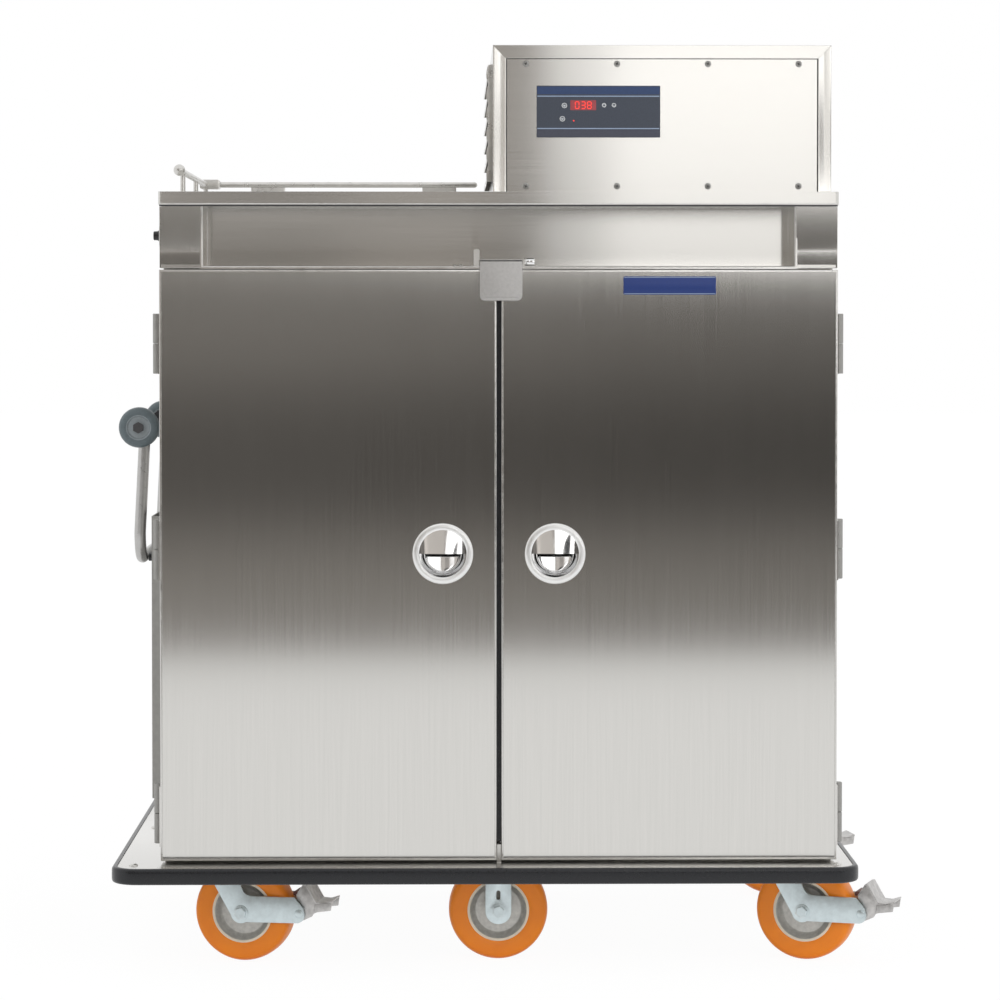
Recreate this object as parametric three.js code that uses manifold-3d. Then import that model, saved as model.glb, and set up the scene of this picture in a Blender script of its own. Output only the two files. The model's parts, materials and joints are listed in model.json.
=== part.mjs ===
// Enclosed meal tray cart: an insulated two-door cabinet on a bumpered deck with six casters,
// a utility recess and worktop above the doors, and a refrigeration unit on the worktop.
// Millimetres, +Z up, +X to the right of a person facing the doors, +Y from the doors to the back.
// While it is built, x = 0 is the gap between the doors, y = 0 the front of the doors and z = 0 the
// floor. The last lines move the whole cart so that its origin is the bottom centre of its own box.

import * as THREE from "three";
import { mergeVertices } from "three/addons/utils/BufferGeometryUtils.js";
import Module from "manifold-3d";

const wasm = await Module();
wasm.setup();

// ---- Driving dimensions -------------------------------------------------------------------------

const fit = 0.3; // the gap between pieces that turn, slide or are cut to each other
const runningGap = 0.5; // the side gap of pieces that turn on one pin
const past = 1; // how far a cutting solid runs past what it cuts

// Cabinet
const cabinetWidth = 1018;
const cabinetDepth = 686;
const wallThickness = 45;
const backThickness = 40;
const dividerThickness = 44;
const floorThickness = 38;
const ceilingThickness = 40;
const bayHeight = 788;

// Doors
const doorThickness = 38;
const doorGap = 8; // between the two doors
const doorOverlap = 3; // each door past the side of the cabinet
const doorToLedge = 4.5; // under the doors
const doorToHousing = 2.5; // over the doors
const gasketThickness = 4;
const gasketWidth = 16;
const gasketInset = 5;
const gasketLipDepth = 30;

// Deck and bumper
const ledgeHeight = 162; // top of the deck's ledge over the floor
const sheet = 3;
const rimHeight = 5; // under the ledge; it ends over the tops of the wheels
const ledgeLeft = 67; // the ledge past the cabinet's side, where the handle needs guarding
const ledgeRight = 26;
const ledgeFront = 52; // past the front of the doors
const ledgeRear = 34;
const ledgeCorner = 32;
const bumperThickness = 8;
const bumperHeight = 24;
const bumperRise = 1; // over the ledge
const bumperRounding = 3.5;
const stopTabWidth = 6;
const stopTabHeight = 28;

// Casters
const wheelDiameter = 152.4; // six-inch wheels
const wheelWidth = 48;
const hubRadius = 16;
const rimRadius = 47.5;
const axleRadius = 6;
const casterHeight = 197; // floor to the top of the caster's plate
const casterLeftInset = 81; // swivel axes, in from the cabinet's sides
const casterRightInset = 70;
const casterFrontInset = 56; // and from its front and back
const casterRearInset = 60;
const swivelTrail = 40;
const wheelSides = 18; // flats round the tread
const treadShoulder = 6; // rounding of the tread's edges
const forkPlate = 4;
const wheelToFork = 3;
const hubProud = 1.5; // the hub's ends, out past the tread
const casterPlateWidth = 110;
const casterPlateDepth = 96;
const casterPlateThickness = 6;
const raceRadius = 34;
const crownThickness = 6;
const wheelToCrown = 9;
const raceHeight = 10; // from the crown to the fixed race
const legRear = 28; // a leg's edges, behind and before the swivel axis
const legFront = 20;
const axleEye = 16; // radius of the leg's round end
const armRise = 26; // the brake arm over the axle, and under it
const armDrop = 13;
const axleHead = 5;
const rigidLegHalf = 20;
const brakePinReach = 92; // from the axle to the brake pedal's pin
const brakePinRadius = 4;
const brakePinRise = 2; // over the axle
const pedalReach = 143; // from the axle to the tip of the pedal
const pedalSheet = 3;
const shoeGap = 3.8; // from the tread to the brake shoe, with the lever up
const shoeThickness = 8;

// Upper housing, worktop and rail
const housingHeight = 96; // over the level of the door tops
const housingSetback = 2; // behind the front of the doors
const recessWidth = 894;
const recessDepth = 100;
const recessFloor = 3;
const recessTop = 2;
const worktopThickness = 19.5;
const worktopOverhang = 4.5;
const worktopFront = 5;
const worktopRear = 4;
const worktopCorner = 5;
const railHeight = 39;
const railRadius = 5;
const railEndRadius = 9;
const railPostRadius = 4;
const railInset = 20; // from the worktop's left edge to the rail
const railRearInset = 27;
const railFrontInset = 153;
const railRightEnd = -27;
const railTabWidth = 58;
const railTabThickness = 4;
const railCorner = 34; // the corner fitting, each way
const railCornerHeight = 16;

// Refrigeration unit
const unitLeft = -9;
const unitWidth = 512;
const unitHeight = 221.5;
const unitSetback = 15; // behind the worktop's front edge
const unitDepth = 715;
const unitBand = 20;
const unitBandProud = 2.5;
const unitPanelThickness = 1.5;
const louvreCount = 6;
const louvrePitch = 31;
const louvreRise = 22;
const louvreDepth = 8;
const louvreSheet = 1.5;
const louvreLength = 480;
const louvreSlot = 6; // depth of the slot behind each louvre
const overlayLeft = 66; // from the unit's left side
const overlayWidth = 187;
const overlayBottom = 82.5; // over the worktop
const overlayHeight = 78;
const overlayThickness = 2;
const displayLeft = 51; // from the overlay's left edge
const displayWidth = 39;
const displayRaise = 41; // over the overlay's lower edge
const displayHeight = 15;
const displayThickness = 1.2;
const keyTravel = 0.5;
const keyProud = 0.5;

// Push handle, its brackets and roller bumpers
const handleX = 48.7; // its pivot, out from the side wall
const handlePivotHeight = 818;
const handleDrop = 206.5; // from the pivot down to the grip
const handleSpan = 394; // between the middles of the arms
const handleTube = 18; // diameter
const handleBend = 42;
const handleArmShift = 7; // the arms' top, in from the pivot
const handleGripShift = 1.3; // the grip, out from the pivot
const handleY = 380; // the middle of the handle
const pivotBolt = 5; // radius
const pivotHead = 5; // thickness of its head
const eyeRadius = 15; // the arms' eyes and the brackets' noses
const rollerRadius = 31.5;
const rollerWidth = 28;
const bracketPlate = 6;
const bracketFlange = 4;
const bracketFlangeWidth = 40;
const bracketHeight = 80;
const stopRadius = 5;

// Duct cover and thermostat dial on the left side
const ductProud = 31;
const ductWidth = 430;
const ductBottom = 237;
const ductOverGrip = 67.5; // its top over the push handle's grip
const ductSheet = 2;
const ductFlange = 18;
const ductTaper = 6;
const dialRise = 50; // over the lower edge of the housing
const dialY = 46;
const bezelRadius = 28;
const bezelDome = 6;
const knobRadius = 8;
const knobLength = 9;

// Door hardware
const hingeHeight = 91;
const hingeFromTop = 111.5; // the hinges' middles, from the door's ends
const hingeFromBottom = 66.5;
const hingeMiddleRise = 22.5; // the middle hinge, over the middle of the door
const hingeRadius = 5.75;
const hingePin = 3; // radius
const hingeOut = 6.5; // the hinge axis, out from the door's edge
const hingeLeaf = 2.5; // thickness
const hingeLeafWidth = 30;
const pullHeight = 631.7;
const pullInset = 81; // from the door's free edge to the middle of the pull
const pullRadius = 46;
const cupRadius = 35;
const cupDepth = 30;
const pullSheet = 2;
const pullSides = 20;
const hoodDome = 5;

// Latch over the doors
const latchWidth = 64;
const latchLeft = -29;
const latchDrop = 57.8; // from its pin to its lower edge
const latchSheet = 2;
const latchLip = 5; // height of its rolled lower edge
const latchRoll = 1.5;
const latchTop = 3; // thickness of the part that reaches back over the doors
const latchToDoor = 2.5;
const latchPin = 3; // radius
const latchKnuckle = 4.5;
const latchPinY = 8;
const latchBase = 1;
const latchTabHeight = 26;
const latchTabWidth = 9;
const latchEar = 4;
const latchKnobRadius = 5.5;
const latchKnobLength = 15;

// Tray racks
const runnerCount = 6;
const runnerWidth = 24;
const runnerRise = 18;
const runnerSheet = 2;
const runnerEndGap = 18; // from a runner's ends to the gasket and the back wall
const uprightWidth = 30;
const uprightSheet = 3;
const rackEndGap = 14; // over and under the uprights

// ---- Levels and faces that follow from them ----------------------------------------------------

const side = cabinetWidth / 2;
const bodyFront = doorThickness + gasketThickness;
const bodyBack = bodyFront + cabinetDepth;
const panUnderside = casterHeight;
const bayFloor = panUnderside + floorThickness;
const bayTop = bayFloor + bayHeight;
const doorBottom = ledgeHeight + doorToLedge;
const housingBottom = bayTop + ceilingThickness;
const doorTop = housingBottom - doorToHousing;
const housingTop = housingBottom + housingHeight;
const worktopTop = housingTop + worktopThickness;
const worktopHalf = side + worktopOverhang;
const worktopFrontY = housingSetback - worktopFront;
const worktopBackY = bodyBack + worktopRear;
const unitFrontY = worktopFrontY + unitSetback;
const unitRight = unitLeft + unitWidth;
const unitTop = worktopTop + unitHeight;
const axleHeight = wheelDiameter / 2;
const backInner = bodyBack - backThickness;
const swivelX = [casterLeftInset - side, side - casterRightInset];
const frontCasterY = bodyFront + casterFrontInset;
const rearCasterY = bodyBack - casterRearInset;
const dialHeight = housingBottom + dialRise;
const hingeLevels = {
  upper: doorTop - hingeFromTop,
  middle: (doorTop + doorBottom) / 2 + hingeMiddleRise,
  lower: doorBottom + hingeFromBottom,
};
const crownLevel = wheelDiameter + wheelToCrown;
const raceLevel = crownLevel + crownThickness + raceHeight; // where a swivel fork meets its race

const grow = ([low, high], by) => [low - by, high + by];

// ---- Solids ------------------------------------------------------------------------------------

function asSolid(geometry) {
  const bare = geometry.clone();
  bare.deleteAttribute("normal");
  bare.deleteAttribute("uv");
  const merged = mergeVertices(bare, 1e-4);
  const vertProperties = merged.attributes.position.array;
  const triVerts = new Uint32Array(merged.index.array);
  return new wasm.Manifold(new wasm.Mesh({ numProp: 3, vertProperties, triVerts }));
}

function asGeometry(solid) {
  const { vertProperties, triVerts } = solid.getMesh();
  const geometry = new THREE.BufferGeometry();
  geometry.setAttribute("position", new THREE.BufferAttribute(vertProperties, 3));
  geometry.setIndex(new THREE.BufferAttribute(triVerts, 1));
  geometry.computeVertexNormals();
  return geometry;
}

function join(...pieces) {
  return asGeometry(pieces.map(asSolid).reduce((sum, piece) => sum.add(piece)));
}

function cut(body, ...tools) {
  return asGeometry(tools.map(asSolid).reduce((rest, tool) => rest.subtract(tool), asSolid(body)));
}

// A block between two values of x, of y and of z.
function block([x0, x1], [y0, y1], [z0, z1]) {
  const geometry = new THREE.BoxGeometry(Math.abs(x1 - x0), y1 - y0, z1 - z0);
  return geometry.translate((x0 + x1) / 2, (y0 + y1) / 2, (z0 + z1) / 2);
}

// A shape of x and y, raised from z0 to z1.
function raise(shape, [z0, z1], curveSegments = 3) {
  const options = { depth: z1 - z0, bevelEnabled: false, curveSegments };
  return new THREE.ExtrudeGeometry(shape, options).translate(0, 0, z0);
}

// A shape of x and z, carried from y0 to y1.
function carryY(shape, [y0, y1], curveSegments = 3) {
  const options = { depth: y1 - y0, bevelEnabled: false, curveSegments };
  return new THREE.ExtrudeGeometry(shape, options).rotateX(Math.PI / 2).translate(0, y1, 0);
}

// A shape of y and z, carried from x0 to x1.
function carryX(shape, [x0, x1], curveSegments = 3) {
  const options = { depth: x1 - x0, bevelEnabled: false, curveSegments };
  const turn = new THREE.Matrix4().makeBasis(
    new THREE.Vector3(0, 1, 0),
    new THREE.Vector3(0, 0, 1),
    new THREE.Vector3(1, 0, 0),
  );
  return new THREE.ExtrudeGeometry(shape, options).applyMatrix4(turn).translate(x0, 0, 0);
}

function outline(points) {
  return new THREE.Shape(points.map(([u, v]) => new THREE.Vector2(u, v)));
}

function roundedRectangle([x0, x1], [y0, y1], radius) {
  const shape = new THREE.Shape();
  shape.moveTo(x0 + radius, y0);
  shape.lineTo(x1 - radius, y0).absarc(x1 - radius, y0 + radius, radius, -Math.PI / 2, 0);
  shape.lineTo(x1, y1 - radius).absarc(x1 - radius, y1 - radius, radius, 0, Math.PI / 2);
  shape.lineTo(x0 + radius, y1).absarc(x0 + radius, y1 - radius, radius, Math.PI / 2, Math.PI);
  shape.lineTo(x0, y0 + radius).absarc(x0 + radius, y0 + radius, radius, Math.PI, Math.PI * 1.5);
  return shape;
}

// Round bars between two ends, at a point of the other two axes.
function barX(radius, [x0, x1], y, z, sides = 8) {
  const bar = new THREE.CylinderGeometry(radius, radius, x1 - x0, sides).rotateZ(Math.PI / 2);
  return bar.translate((x0 + x1) / 2, y, z);
}

function barY(radius, x, [y0, y1], z, sides = 8) {
  const bar = new THREE.CylinderGeometry(radius, radius, y1 - y0, sides);
  return bar.translate(x, (y0 + y1) / 2, z);
}

function barZ(radius, x, y, [z0, z1], sides = 8) {
  const bar = new THREE.CylinderGeometry(radius, radius, z1 - z0, sides).rotateX(Math.PI / 2);
  return bar.translate(x, y, (z0 + z1) / 2);
}

// The radius of a faceted bore whose flats stay clear of the bar that turns in it.
function boreFor(radius, sides = 8) {
  return (radius + fit) / Math.cos(Math.PI / sides);
}

// A profile of [radius, y] turned about the Y axis, with a flat facing straight down.
function turn(profile, sides) {
  const points = profile.map(([radius, y]) => new THREE.Vector2(radius, y));
  return new THREE.LatheGeometry(points, sides, Math.PI / sides);
}

// ---- Materials ---------------------------------------------------------------------------------

function finish(color, roughness, metalness) {
  return new THREE.MeshStandardMaterial({ color, roughness, metalness });
}

const stainless = finish(0xb9b8b3, 0.34, 1);
const darkSheet = finish(0x5c5c5e, 0.5, 0.9);
const chrome = finish(0xe6e6e6, 0.08, 1);
const zinc = finish(0xb9c4c6, 0.4, 0.9);
const steel = finish(0x8f8d8b, 0.45, 1);
const blackRubber = finish(0x1d1e20, 0.7, 0);
const greyRubber = finish(0x6b7478, 0.55, 0);
const tread = finish(0xe8751a, 0.45, 0);
const overlayFilm = finish(0x39424f, 0.4, 0);
const keyFilm = finish(0xd9dcdf, 0.5, 0);
const displayRed = finish(0x7a1512, 0.2, 0);
const knobBlack = finish(0x151515, 0.4, 0);

const cart = new THREE.Group();

function place(name, geometry, material, parent = cart) {
  const mesh = new THREE.Mesh(geometry, material);
  mesh.name = name;
  parent.add(mesh);
  return mesh;
}

// ---- Deck and bumper ---------------------------------------------------------------------------

const deckX = [-side - ledgeLeft, side + ledgeRight];
const deckY = [-ledgeFront, bodyBack + ledgeRear];

function baseDeck() {
  const rimZ = [ledgeHeight - sheet - rimHeight, ledgeHeight];
  const ledge = raise(roundedRectangle(deckX, deckY, ledgeCorner), rimZ);
  const inside = roundedRectangle(grow(deckX, -sheet), grow(deckY, -sheet), ledgeCorner - sheet);
  const hollow = raise(inside, [rimZ[0] - past, ledgeHeight - sheet]);
  const wellX = [sheet - side, side - sheet];
  const wellY = [bodyFront + sheet, bodyBack - sheet];
  const pan = block([-side, side], [bodyFront, bodyBack], [ledgeHeight - sheet, bayFloor]);
  const well = block(wellX, wellY, [rimZ[0] - past, panUnderside]);
  const tabX = [-stopTabWidth / 2, stopTabWidth / 2];
  const tabZ = [ledgeHeight - sheet, ledgeHeight + stopTabHeight];
  const tab = block(tabX, [housingSetback, doorThickness / 2], tabZ);
  const shell = cut(join(cut(ledge, hollow), pan), well);
  const plates = [];
  for (const x of swivelX) {
    for (const y of [frontCasterY, rearCasterY]) plates.push(swivelPlate(x, y));
  }
  return join(shell, tab, ...plates);
}

// The fixed plate and upper race of a swivel caster, bolted up under the pan.
function swivelPlate(x, y) {
  const underPlate = casterHeight - casterPlateThickness;
  const halfX = casterPlateWidth / 2;
  const halfY = casterPlateDepth / 2;
  const plate = block([x - halfX, x + halfX], [y - halfY, y + halfY], [underPlate, bayFloor - sheet]);
  return join(plate, barZ(raceRadius - forkPlate, x, y, [raceLevel + fit, casterHeight], 12));
}

function bumperRing() {
  const top = ledgeHeight + bumperRise;
  const bottom = top - bumperHeight;
  const by = bumperThickness + fit - bumperRounding;
  const shape = roundedRectangle(grow(deckX, by), grow(deckY, by), ledgeCorner + by);
  const options = {
    depth: bumperHeight - bumperRounding * 2,
    bevelSize: bumperRounding,
    bevelThickness: bumperRounding,
    bevelSegments: 2,
    curveSegments: 3,
  };
  const band = new THREE.ExtrudeGeometry(shape, options).translate(0, 0, bottom + bumperRounding);
  const hole = roundedRectangle(grow(deckX, fit), grow(deckY, fit), ledgeCorner + fit);
  return cut(band, raise(hole, [bottom - past, top + past]));
}

// ---- Cabinet -----------------------------------------------------------------------------------

const bayZ = [bayFloor, bayTop];

function cabinetPanels() {
  const wallY = [bodyFront, backInner];
  place("left_wall", block([-side, wallThickness - side], wallY, bayZ), stainless);
  place("right_wall", block([side - wallThickness, side], wallY, bayZ), stainless);
  place("back_wall", block([-side, side], [backInner, bodyBack], bayZ), stainless);
  const half = dividerThickness / 2;
  place("centre_divider", block([-half, half], wallY, bayZ), stainless);
}

function upperHousing() {
  const ceiling = block([-side, side], [bodyFront, bodyBack], [bayTop, housingTop]);
  const front = block([-side, side], [housingSetback, bodyFront + past], [housingBottom, housingTop]);
  const half = recessWidth / 2;
  const recessY = [housingSetback - past, housingSetback + recessDepth];
  const recessZ = [housingBottom + recessFloor, housingTop - recessTop];
  return cut(join(ceiling, front), block([-half, half], recessY, recessZ));
}

function worktop() {
  const shape = roundedRectangle([-worktopHalf, worktopHalf], [worktopFrontY, worktopBackY], worktopCorner);
  return raise(shape, [housingTop, worktopTop]);
}

function guardRail() {
  const z = worktopTop + railHeight;
  const leftX = -worktopHalf + railInset;
  const frontY = worktopFrontY + railFrontInset;
  const rearY = worktopBackY - railRearInset;
  const end = new THREE.SphereGeometry(railEndRadius, 10, 6).rotateX(Math.PI / 2).translate(leftX, frontY, z);
  const out = railCorner / 4;
  const cornerX = [leftX - out, leftX + railCorner - out];
  const cornerY = [rearY - railCorner + out, rearY + out];
  const corner = block(cornerX, cornerY, [z - railCornerHeight / 2, z + railCornerHeight / 2]);
  const parts = [barY(railRadius, leftX, [frontY, rearY], z)];
  parts.push(barX(railRadius, [leftX, railRightEnd], rearY, z));
  const run = rearY - frontY;
  const postYs = [frontY + run * 0.12, frontY + run * 0.6, rearY];
  for (const y of postYs) parts.push(barZ(railPostRadius, leftX, y, [worktopTop, z]));
  const rearRun = railRightEnd - leftX;
  for (const share of [0.23, 0.86]) {
    const x = leftX + rearRun * share;
    const tabX = [x - railTabWidth / 2, x + railTabWidth / 2];
    const tabY = [rearY - railTabThickness / 2, rearY + railTabThickness / 2];
    parts.push(block(tabX, tabY, [worktopTop, z]));
  }
  return join(...parts, end, corner);
}

// Rails of angle on two uprights; trays slide on them. facing is +1 when the ledges point to +X.
function trayRack(name, wallX, facing) {
  const runnerY = [bodyFront + runnerEndGap, backInner - runnerEndGap];
  const uprightZ = [bayFloor, bayTop - rackEndGap];
  const parts = [];
  for (const y of grow(runnerY, -uprightWidth * 1.5)) {
    const upright = [wallX, wallX + facing * uprightSheet];
    parts.push(block(upright.sort((a, b) => a - b), [y - uprightWidth / 2, y + uprightWidth / 2], uprightZ));
  }
  const back = wallX + facing * (uprightSheet - past);
  const tip = wallX + facing * runnerWidth;
  const inner = back + facing * (runnerSheet + past);
  const pitch = bayHeight / (runnerCount + 1);
  for (let i = 1; i <= runnerCount; i += 1) {
    const z = bayFloor + pitch * i - pitch / 2;
    const angle = outline([
      [back, z],
      [tip, z],
      [tip, z + runnerSheet],
      [inner, z + runnerSheet],
      [inner, z + runnerRise],
      [back, z + runnerRise],
    ]);
    parts.push(carryY(angle, runnerY));
  }
  place(name, join(...parts), stainless);
}

// ---- Refrigeration unit ------------------------------------------------------------------------

const panelBack = unitFrontY + unitBandProud + unitPanelThickness;
const panelFront = unitFrontY + unitBandProud;
const unitZ = [worktopTop, unitTop];

// Each louvre is a rounded hood over a slot, open downwards.
function louvreHood(top, inset) {
  const hood = new THREE.Shape();
  hood.moveTo(unitLeft + louvreSlot, top - inset);
  hood.lineTo(unitLeft, top - inset);
  const lip = unitLeft - louvreDepth + inset;
  hood.quadraticCurveTo(lip, top - louvreRise * 0.35 - inset, lip, top - louvreRise - inset);
  hood.lineTo(unitLeft + louvreSlot, top - louvreRise - inset);
  return hood;
}

function unitHousing() {
  const backY = unitFrontY + unitDepth;
  const body = block([unitLeft, unitRight], [unitFrontY, backY], unitZ);
  const panelX = [unitLeft + unitBand, unitRight - unitBand];
  const pocket = block(panelX, [unitFrontY - past, panelBack], [worktopTop - past, unitTop - unitBand]);
  const middle = (unitFrontY + backY) / 2;
  const hoods = [];
  const slots = [];
  for (let i = 0; i < louvreCount; i += 1) {
    const top = unitTop - unitBand - louvrePitch * i;
    const end = louvreLength / 2;
    hoods.push(carryY(louvreHood(top, 0), [middle - end, middle + end], 4));
    const inner = end - louvreSheet;
    slots.push(carryY(louvreHood(top, louvreSheet), [middle - inner, middle + inner], 4));
  }
  return cut(join(cut(body, pocket), ...hoods), ...slots);
}

const overlayX = [unitLeft + overlayLeft, unitLeft + overlayLeft + overlayWidth];
const overlayZ = [worktopTop + overlayBottom, worktopTop + overlayBottom + overlayHeight];
const overlayFront = panelFront - overlayThickness;

// Keys of the overlay, by their middle from its lower left corner.
const keys = [
  { name: "raise_key", x: 102, z: 48.6, radius: 3.4 },
  { name: "lower_key", x: 117, z: 48.6, radius: 3.4 },
  { name: "mode_key", x: 42, z: 48, radius: 4.2 },
  { name: "power_key", x: 39, z: 28, radius: 4.2 },
];

function refrigerationUnit() {
  place("unit_housing", unitHousing(), stainless);
  const panelX = [unitLeft + unitBand, unitRight - unitBand];
  const panel = block(panelX, [panelFront, panelBack], [worktopTop, unitTop - unitBand]);
  place("unit_front_panel", panel, stainless);
  const film = block(overlayX, [overlayFront, panelFront], overlayZ);
  const displayX = [overlayX[0] + displayLeft, overlayX[0] + displayLeft + displayWidth];
  const displayZ = [overlayZ[0] + displayRaise, overlayZ[0] + displayRaise + displayHeight];
  const window = block(displayX, [overlayFront, overlayFront + displayThickness], displayZ);
  const windowHole = block(displayX, [overlayFront - past, overlayFront + displayThickness], displayZ);
  const keyHoles = [];
  for (const key of keys) {
    const x = overlayX[0] + key.x;
    const z = overlayZ[0] + key.z;
    keyHoles.push(barY(key.radius + fit, x, [overlayFront - past, panelFront + past], z));
    const keyY = [overlayFront - keyProud, panelFront - keyTravel - fit];
    place(key.name, barY(key.radius, x, keyY, z), keyFilm);
  }
  place("control_overlay", cut(film, windowHole, ...keyHoles), overlayFilm);
  place("display_window", window, displayRed);
}

// ---- Left side: duct cover, thermostat dial, push handle ---------------------------------------

const pivotX = -side - handleX;
const gripX = pivotX - handleGripShift;
const gripZ = handlePivotHeight - handleDrop;
const tube = handleTube / 2;
const stopGap = handleSpan / 2 - handleBend;

function ductCover() {
  const wall = -side;
  const face = wall - ductProud;
  const near = handleY - ductWidth / 2;
  const far = handleY + ductWidth / 2;
  const t = ductSheet;
  const hat = outline([
    [wall, near - ductFlange],
    [wall - t, near - ductFlange],
    [wall - t, near - t],
    [wall - t * 2, near - t],
    [face, near + ductTaper],
    [face, far - ductTaper],
    [wall - t * 2, far + t],
    [wall - t, far + t],
    [wall - t, far + ductFlange],
    [wall, far + ductFlange],
    [wall, far - t],
    [face + t, far - ductTaper - t],
    [face + t, near + ductTaper + t],
    [wall, near + t],
  ]);
  const cover = raise(hat, [ductBottom, gripZ + ductOverGrip]);
  const stopX = [gripX + tube + fit, face + t / 2];
  const stops = [-1, 1].map((end) => barX(stopRadius, stopX, handleY + end * stopGap, gripZ));
  return join(cover, ...stops);
}

function thermostatDial() {
  const wall = -side;
  const steps = 3;
  const profile = [[0, 0], [bezelRadius, 0]];
  for (let i = 1; i <= steps; i += 1) {
    const angle = (i / steps) * (Math.PI / 2);
    profile.push([bezelRadius * Math.cos(angle), bezelDome * Math.sin(angle)]);
  }
  profile[profile.length - 1][0] = 0;
  const bezel = turn(profile, 18).rotateZ(Math.PI / 2).translate(wall, dialY, dialHeight);
  place("dial_bezel", bezel, stainless);
  const start = wall - bezelDome - fit;
  const knob = turn([[0, 0], [knobRadius, 0], [knobRadius - 1, knobLength], [0, knobLength]], 12);
  place("dial_knob", knob.rotateZ(Math.PI / 2).translate(start, dialY, dialHeight), knobBlack);
}

// From the outside in, along one pivot: bolt head, roller bumper, the arm's eye, bracket.
const armY = handleSpan / 2;
const eyeOuter = armY + tube;
const rollerInner = eyeOuter + runningGap;
const rollerOuter = rollerInner + rollerWidth;
const bracketOuter = armY - tube - runningGap;

function pushHandle() {
  const armTop = new THREE.Vector3(pivotX + handleArmShift, 0, handlePivotHeight);
  const armFoot = new THREE.Vector3(gripX, 0, gripZ);
  const down = armFoot.clone().sub(armTop).normalize();
  const path = new THREE.CurvePath();
  const atY = (point, y) => new THREE.Vector3(point.x, y, point.z);
  const foot = armFoot.clone().addScaledVector(down, -handleBend);
  const near = handleY - armY;
  const far = handleY + armY;
  const bendNear = new THREE.QuadraticBezierCurve3(
    atY(foot, near),
    atY(armFoot, near),
    atY(armFoot, near + handleBend),
  );
  const bendFar = new THREE.QuadraticBezierCurve3(
    atY(armFoot, far - handleBend),
    atY(armFoot, far),
    atY(foot, far),
  );
  path.add(new THREE.LineCurve3(atY(armTop, near), bendNear.v0));
  path.add(bendNear);
  path.add(new THREE.LineCurve3(bendNear.v2, bendFar.v0));
  path.add(bendFar);
  path.add(new THREE.LineCurve3(bendFar.v2, atY(armTop, far)));
  const section = new THREE.Shape().absarc(0, 0, tube, 0, Math.PI * 2);
  const options = { steps: 40, curveSegments: 4, extrudePath: path };
  const bow = new THREE.ExtrudeGeometry(section, options);
  const eyes = [near, far].map((y) => barY(eyeRadius, pivotX, [y - tube, y + tube], handlePivotHeight, 14));
  const boreEnd = tube + past;
  const bore = (y) => barY(boreFor(pivotBolt), pivotX, [y - boreEnd, y + boreEnd], handlePivotHeight);
  return cut(join(bow, ...eyes), bore(near), bore(far));
}

// outward is -1 at the front end of the handle and +1 at the rear end.
function handleBracket(outward) {
  const span = (a, b) => {
    const ends = [handleY + outward * a, handleY + outward * b];
    return ends.sort((low, high) => low - high);
  };
  const wall = -side;
  const gusset = new THREE.Shape();
  gusset.moveTo(wall, handlePivotHeight - bracketHeight / 2);
  gusset.absarc(pivotX, handlePivotHeight, eyeRadius - past, -Math.PI / 3, -Math.PI, true);
  gusset.absarc(pivotX, handlePivotHeight, eyeRadius - past, Math.PI, Math.PI / 3, true);
  gusset.lineTo(wall, handlePivotHeight + bracketHeight / 2);
  const plate = carryY(gusset, span(bracketOuter - bracketPlate, bracketOuter));
  const flangeZ = [handlePivotHeight - bracketHeight / 2, handlePivotHeight + bracketHeight / 2];
  const flangeY = span(bracketOuter - bracketFlangeWidth, bracketOuter);
  const flange = block([wall - bracketFlange, wall], flangeY, flangeZ);
  const headStart = rollerOuter + runningGap;
  const shank = barY(pivotBolt, pivotX, span(bracketOuter - past, headStart + past), handlePivotHeight);
  const head = barY(pivotBolt * 1.8, pivotX, span(headStart, headStart + pivotHead), handlePivotHeight, 6);
  return join(plate, flange, shank, head);
}

function rollerBumper() {
  const sides = 18;
  const w = rollerWidth / 2;
  const bore = pivotBolt + fit;
  const r = rollerRadius / Math.cos(Math.PI / sides);
  const profile = [
    [bore, -w + 4],
    [r - 15, -w + 4],
    [r - 11, -w],
    [r - 4, -w + 2],
    [r, -w * 0.3],
    [r, w * 0.3],
    [r - 4, w - 2],
    [r - 11, w],
    [r - 15, w - 4],
    [bore, w - 4],
    [bore, -w + 4],
  ];
  return turn(profile, sides);
}

function handleParts() {
  place("push_handle", pushHandle(), stainless);
  const ends = [["front", -1], ["rear", 1]];
  for (const [end, outward] of ends) {
    place("handle_bracket_" + end, handleBracket(outward), darkSheet);
    const roller = place("roller_bumper_" + end, rollerBumper(), greyRubber);
    roller.position.set(pivotX, handleY + outward * (rollerInner + rollerWidth / 2), handlePivotHeight);
  }
}

// ---- Doors -------------------------------------------------------------------------------------

const doorOuter = side + doorOverlap;
const hingeX = doorOuter + hingeOut;
const hingeY = bodyFront - 2;
const hingeHalf = hingeHeight / 2;

// Pieces of a door are drawn for the right-hand door, from the middle gap out to +X, and
// mirrored for the left: to is +1 for the right door and -1 for the left one.
const across = (to, a, b) => [to * a, to * b].sort((low, high) => low - high);

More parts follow.
